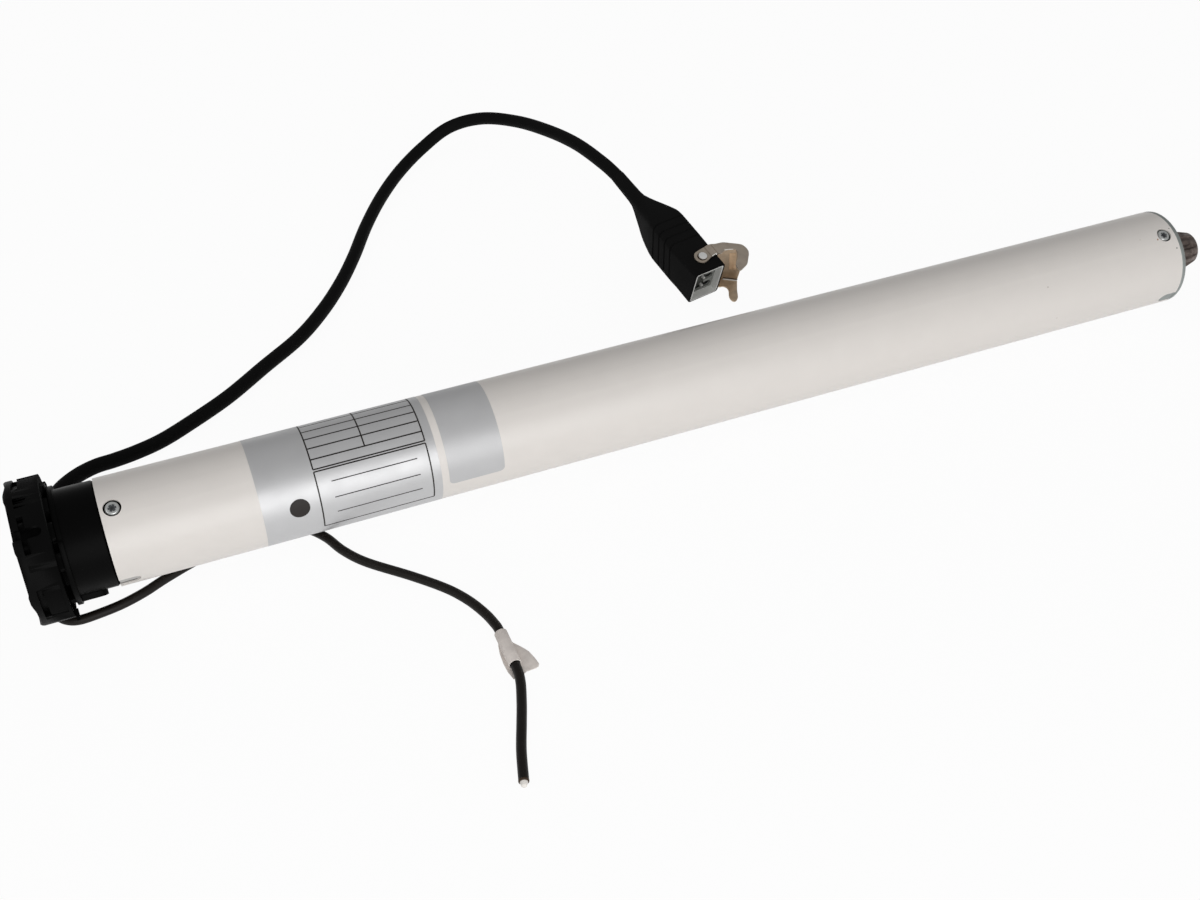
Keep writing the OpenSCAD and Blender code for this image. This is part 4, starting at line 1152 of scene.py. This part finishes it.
@dataclass
class Bail:
    """Locking bail: two hooked plates and the web between them, one bent sheet.

    A bar on the web has a share of the way along it, a length, two heights, and how far it stands out. The
    strip also has the degrees that it leans.
    """

    cord: MainsCord
    thick: float = 1.0
    edge: float = 0.15
    web_edge: float = 0.35
    ear: Point = (0.4, 11.2, 4.9)
    upper_z: Pair = (26.7, 27.7)
    lower_z: Pair = (-1.3, -0.3)
    fold: Point = (6.3, 10.9, 0.8)
    fold_line: Point = (0.55, 14.0, 0.2)
    fold_mid: float = 12.5
    fold_cut: float = 0.3
    upper: Outline = (
        (3.0, 7.1), (7.2, 8.5), (10.4, 8.6), (13.2, 7.2), (16.0, 8.3), (19.5, 7.8), (22.5, 6.5),
        (23.4, 5.4), (23.2, 3.7), (20.3, -0.6), (18.0, -2.5), (15.8, -5.2), (15.2, -7.7), (15.2, -9.7),
        (16.4, -9.9), (19.3, -9.0), (23.2, -7.4), (25.8, -4.8), (29.2, -1.1), (30.6, 1.7), (30.6, 4.9),
        (29.3, 7.9), (23.8, 11.8), (19.3, 14.6), (14.6, 15.6), (9.9, 17.2), (5.0, 16.9))
    lower: Outline = (
        (3.5, 6.4), (10.0, 5.0), (15.5, 2.6), (18.2, 1.7), (19.5, -0.2), (19.3, -2.8), (16.7, -7.0),
        (16.1, -9.8), (16.9, -11.9), (19.0, -12.1), (21.1, -10.7), (22.4, -9.0), (24.9, -4.8),
        (28.7, 0.3), (29.3, 1.6), (27.5, 4.4), (14.0, 12.0), (10.0, 13.6))
    web: Outline = ((13.6, 10.9), (16.4, 9.8), (21.0, 7.4), (25.4, 4.5), (29.3, 1.6))
    web_z: Pair = (-1.0, 28.3)
    web_out: float = 0.45
    strip: tuple[float, float, Pair, float, float] = (0.33, 4.3, (9.8, 25.4), 0.18, -12.0)
    # The bend bar and the rods are drawn near-white as painted highlights; the shade bar and the disc round
    # the rivet are painted shade.
    bend_highlight: tuple[float, float, Pair, float] = (0.53, 9.8, (-0.4, 0.6), 0.5)
    shade: tuple[float, float, Pair, float] = (0.53, 9.8, (0.9, 1.6), 0.15)
    rivet_shade: Point = (0.45, 10.9, 3.2)
    rivet_shade_depth: float = 0.06
    highlight_rod_r: float = 0.28
    highlight_rods: tuple[Route, ...] = (
        ((16.6, 8.8, 28.4), (19.5, 7.8, 28.4), (22.2, 6.7, 28.4)),
        ((6.6, 8.3, 27.75), (8.6, 8.6, 28.1), (10.4, 8.6, 28.4)))

    def at(self, x: float, y: float, z: float) -> Matrix:
        """Give a place in the plug's frame."""
        return self.cord.plug_matrix() @ shift(x, y, z)

    def outline(self, edge: Outline) -> list[Vector]:
        """Close a plate's edge round its ear and smooth it.

        Args:
            edge: Points from the ear's lower side round the hook to its upper side.

        Returns:
            Points of the outline in metres.
        """
        x, y, radius = self.ear
        turns = [math.radians(a) for a in range(110, 285, 25)]
        loop = [(x + radius * math.cos(a), y + radius * math.sin(a), 0.0) for a in turns]
        loop += [(u, v, 0.0) for u, v in edge]
        return smooth_route(loop[-1:] + loop + loop[:2], 4)[4:4 * (len(loop) + 1)]

    def flat(self, line: list[Vector], height: float, rounding: float, closed: bool) -> Object:
        """Make a flat curve of some height and turn it into a mesh.

        Args:
            line: Its points in metres.
            height: Height along the plug's upright, in millimetres.
            rounding: Radius of its edges.
            closed: True for a filled plate, False for a ribbon.

        Returns:
            The mesh, about the height zero.
        """
        piece = line_curve("sheet", line, closed=closed)
        piece.data.dimensions = "2D"
        piece.data.fill_mode = "BOTH" if closed else "NONE"
        piece.data.extrude = (height / 2 - rounding) * MM
        piece.data.bevel_depth = rounding * MM
        piece.data.bevel_resolution = 2
        piece.data.offset = -rounding * MM
        return as_mesh(piece)

    def upper_plate(self) -> Object:
        """Make the upper plate, stepped up between its two folds."""
        piece = self.flat(self.outline(self.upper), self.thick, self.edge, True)
        first, last, rise = self.fold
        edit(piece)
        for x in (first, last):
            select_all()
            bpy.ops.mesh.bisect(plane_co=(x * MM, 0, 0), plane_no=(1, 0, 0))
        deselect()
        for v in piece.data.vertices:
            v.co.z += rise * MM * min(1.0, max(0.0, (v.co.x / MM - first) / (last - first)))
        placed(piece, self.at(0, 0, sum(self.upper_z) / 2))
        for x, up in ((first, 0.0), (last, rise)):
            spot = self.at(x, self.fold_mid, self.upper_z[1] + up - self.fold_cut)
            cut(piece, section(*self.fold_line, spot, 2 * self.thick))
        return smoothed(piece, 9)

    def lower_plate(self) -> Object:
        """Make the lower plate with its tongue."""
        piece = self.flat(self.outline(self.lower), self.thick, self.edge, True)
        return smoothed(placed(piece, self.at(0, 0, sum(self.lower_z) / 2)), 9)

    def web_sheet(self) -> Object:
        """Make the upright web."""
        low, high = self.web_z
        piece = self.flat(smooth_route([(x, y, 0.0) for x, y in self.web], 6), high - low, 0.0, False)
        apply_modifier(piece, "SOLIDIFY", thickness=self.thick * MM, offset=0.0)
        bevelled(piece, self.web_edge, 3, 50)
        return smoothed(placed(piece, self.at(0, 0, (low + high) / 2)), 30)

    def on_web(self, share: float, length: float, z: Pair, proud: float, lean: float = 0.0) -> Object:
        """Make one rounded bar on the web's outer side.

        Args:
            share: Share of the way along the web's straight part.
            length: Length along the web, in millimetres.
            z: Lower and upper end on the plug's upright.
            proud: How far it stands out.
            lean: Degrees that it leans on the web.

        Returns:
            The bar, in its place.
        """
        (x0, y0), (x1, y1) = self.web[2], self.web[-1]
        along = math.atan2(y1 - y0, x1 - x0)
        x = x0 + (x1 - x0) * share + math.sin(along) * self.web_out
        y = y0 + (y1 - y0) * share - math.cos(along) * self.web_out
        deselect()
        bpy.ops.mesh.primitive_cube_add(size=1)
        piece = scaled(bpy.context.object, (length * MM, 2 * proud * MM, (z[1] - z[0]) * MM))
        apply_modifier(piece, "BEVEL", width=0.9 * proud * MM, segments=4)
        place = self.at(x, y, sum(z) / 2) @ turn(math.degrees(along), "Z") @ turn(lean, "Y")
        return smoothed(placed(piece, place), 40)

    def highlight_rod(self, points: Route) -> Object:
        """Make a near-white rod along some points, a painted highlight on a bend."""
        piece = as_mesh(line_curve("highlight_rod", smooth_route(list(points), 4), self.highlight_rod_r))
        return smoothed(placed(piece, self.cord.plug_matrix()), 40)

    def painted_shade(self) -> Object:
        """Make painted shade: a dark disc in the gap round the rivet, and a dark bar over the lower bend."""
        x, y, radius = self.rivet_shade
        spot = self.at(x, y, self.upper_z[1])
        # Dark disc painted as shade in the gap round the rivet.
        rivet_shade = section(2 * radius, 2 * radius, radius - 0.02, spot, self.rivet_shade_depth)
        return joined([rivet_shade, self.on_web(*self.shade)])

    def build(self) -> list[Object]:
        """Make the bail's pieces."""
        upper, lower, painted_shade = self.upper_plate(), self.lower_plate(), self.painted_shade()
        # Painted highlights along the bends.
        painted_highlight = joined([self.on_web(*self.bend_highlight)] + [self.highlight_rod(points) for points in self.highlight_rods])
        # The tongue's lighter tan is painted light.
        rows = ((upper, "bail_plate", "bronze", "bail"), (lower, "bail_tongue", "tan"),
                (self.web_sheet(), "bail_web", "web"), (self.on_web(*self.strip), "bail_strip", "tinted"),
                (painted_highlight, "bail_painted_highlights", "painted_highlight"), (painted_shade, "bail_painted_shade", "brown"))
        return [settle(piece, name, "bronze_sheet", *looks, body=Body.BAIL) for piece, name, *looks in rows]


def fill_palette() -> None:
    """Make every material once."""
    spots = (
        Mark(601.6, 39.9, 0.4, "#B0A79E"), Mark(608.4, -3.9, 0.35, "#B3AAA0"),
        Mark(674.2, 67.3, 0.3, "#BBB2A8"), Mark(685.9, 62.0, 0.55, "#9C6A3E"),
        Mark(696.7, 45.8, 0.5, "#8A8A87"), Mark(697.4, 72.7, 0.4, "#8F8983"))
    finishes = {
        # Glass-filled polyamide, spark-eroded mould: nearly black, soft gloss.
        "black": Finish("moulded_black_pa", "#0B0B0B", 0.45, grain=(0.35, 0.06), specular=0.04),
        # The same polyamide on the ring, polished by use.
        "ring": Finish("polished_black_pa", "#080808", 0.4, grain=(0.35, 0.05), specular=0.03),
        # Soft PVC moulded over the plug.
        "plug": Finish("moulded_plug_pvc", "#161616", 0.6, grain=(0.5, 0.08), specular=0.02),
        # Extruded rubber jacket.
        "jacket": Finish("extruded_jacket", "#131313", 0.55, grain=(0.4, 0.03), specular=0.03),
        # Thin brown-black jacket of the aerial lead.
        "lead": Finish("aerial_jacket", "#15110E", 0.5, grain=(0.4, 0.05), specular=0.2),
        # Off-white powder coat on a steel tube.
        "paint": SpottedPaint("powder_coated_steel", "#E2DDD8", 0.38, 0.0, (0.9, 0.02), (14.0, 0.01),
                              marks=spots),
        # Clear-passivated zinc on steel screws.
        "zinc": Finish("zinc_plated_screw", "#C2C4C3", 0.34, 0.65, (0.4, 0.03)),
        # Zinc die casting, as cast.
        "casting": Finish("die_cast_zinc", "#969B99", 0.5, 0.7, (0.5, 0.08)),
        # Case-hardened steel, dark from the furnace and the oil.
        "dark_steel": Finish("darkened_steel", "#665B56", 0.42, 0.7, (0.5, 0.08), (2.5, 0.45)),
        # Ground or turned steel, marks 0.3 mm apart.
        "steel": Finish("ground_steel", "#8D9298", 0.33, 1.0, (0.3, 0.04), stripes=(0.3, "X", 0.1)),
        # Aluminium casting of shields and bush.
        "alloy": Finish("cast_alloy", "#9CA0A4", 0.5, 0.9, (0.5, 0.05)),
        # Spring sheet, passivated.
        "bronze": Finish("passivated_sheet", "#AFA395", 0.4, 0.55, (0.4, 0.05), (7.0, 0.12)),
        # The web of the same sheet, browner.
        "web": Finish("brown_web_sheet", "#A8937B", 0.38, 0.55, (0.4, 0.05), (6.0, 0.2)),
        # Painted highlight: near-white, for the rods and the bar along the sheet's bends.
        "painted_highlight": Finish("painted_bend_highlight", "#FAF6EF", 0.4, 0.0, (0.3, 0.03)),
        # Brown edge of a cut jacket; also painted shade under a bend and round the rivet.
        "brown": Finish("brown_edge_and_painted_shade", "#3A2C20", 0.5, 0.0, (0.3, 0.05), specular=0.2),
        # Bare casting of the key in the tube's slot.
        "key": Finish("bare_casting", "#B4B3B0", 0.45, 0.4, (0.4, 0.05)),
        # Painted shade in the screws' sockets.
        "socket_shade": Finish("painted_socket_shade", "#4A4C4E", 0.6, 0.0, (0.3, 0.1), (1.0, 0.3)),
        # The pale moulding deep in the plug's mouth, painted dark grey as shade.
        "deep": Finish("grey_core_painted_shade", "#4A4C48", 0.55),
        # The same moulding nearer the mouth, painted mid grey as lighter shade.
        "face": Finish("grey_face_painted_shade", "#8C8E8A", 0.5),
        # Bright tinned rivets and contacts.
        "rivet": Finish("tinned_metal", "#E9E9E7", 0.38, 0.35, (0.3, 0.03)),
        # The same sheet, lighter and more orange on a strip of the web.
        "tinted": Finish("tinted_sheet", "#C6A785", 0.38, 0.5, (0.4, 0.05), (4.0, 0.2)),
        # Its lower plate, painted a lighter tan as light where the upper plate shades it.
        "tan": Finish("painted_light_sheet", "#CDB79C", 0.4, 0.45, (0.4, 0.05), (5.0, 0.2)),
        # Enamelled copper turns of 0.5 mm.
        "copper": Finish("enamelled_wire", "#A8683C", 0.32, 0.8, (0.5, 0.4), stripes=(0.5, "DIAGONAL", 0.6)),
        # Stacked electrical sheet of 0.5 mm.
        "sheet_stack": Finish("lamination_stack", "#6F7478", 0.4, 0.9, (0.5, 0.3), stripes=(0.5, "X", 0.45)),
        # Glass-fibre board under green solder mask.
        "board": Finish("solder_mask", "#2F5D43", 0.35, 0.0, (0.6, 0.03), (14.0, 0.15),
                        stripes=(2.5, "Y", 0.25)),
        # Pale thermoplastic of holders.
        "pale": Finish("pale_moulding", "#8F918C", 0.5),
        # Coloured cases of relays, capacitor and transformer.
        "dark_part": Finish("dark_moulding", "#22384F", 0.35),
        # The same pale moulding at the lip of the mouth, painted near-white as light.
        "lining": Finish("pale_lining_painted_light", "#F4F5F2", 0.45),
        # Uncoated paper.
        "paper": Finish("plain_paper", "#DED6D0", 0.8, 0.0, (0.3, 0.1), (5.0, 0.1)),
        # White insulation of the aerial's core.
        "core": Finish("cable_core", "#E8E4DE", 0.5, 0.0, (0.3, 0.04)),
        # Silvered polyester label stock.
        "foil": Finish("silver_foil", "#C6C6C7", 0.46, 0.5, (0.8, 0.02), (14.0, 0.02)),
        # Grey film label stock.
        "film": Finish("grey_film", "#C1C1C2", 0.46, 0.25, (0.8, 0.02), (14.0, 0.02)),
        # Black thermal-transfer print.
        "ink": Finish("printed_black", "#241F1D", 0.5, 0.0, (0.3, 0.02), specular=0.3)}
    for look, finish in finishes.items():
        PALETTE[look] = finish.build()


SLOT_LOOK = {
    "black_plastic": "black", "cord_rubber": "jacket", "white_paint": "paint", "zinc_plate": "zinc",
    "zinc_casting": "casting", "light_alloy": "alloy", "dark_steel": "dark_steel", "steel": "steel",
    "bronze_sheet": "bronze", "copper": "copper", "board": "board", "pale_plastic": "pale",
    "dark_component": "dark_part", "shield_can": "zinc", "paper": "paper", "white_core": "core"}


def dress_nodes() -> None:
    """Give every CAD node the finish of its slot, or its own."""
    slots = {row["node"]: row["material_slot"] for row in frame["record"]["subparts"]}
    own = {"stator_core": "sheet_stack", "rotor_core": "sheet_stack", "aerial_grommet": "lead"}
    for name, node in frame["nodes"].items():
        node.data.materials.clear()
        node.data.materials.append(PALETTE[own.get(name, SLOT_LOOK[slots[name]])])


def main() -> None:
    """Build the scene in order."""
    logging.basicConfig(level=logging.INFO)
    studio = Studio()
    studio.build()
    fill_palette()
    dress_nodes()
    Shell().build()
    HeadFront().build()
    SlotKey().build()
    Labels().build()
    Screws().build()
    cord = MainsCord(studio)
    plug = Plug(cord).build() + Bail(cord).build() + [bpy.data.objects["bail_pins_shell"]]
    cord.build(plug)
    AerialLead(studio).build([bpy.data.objects["aerial_tag_shell"]])


if __name__ == "__main__":
    main()
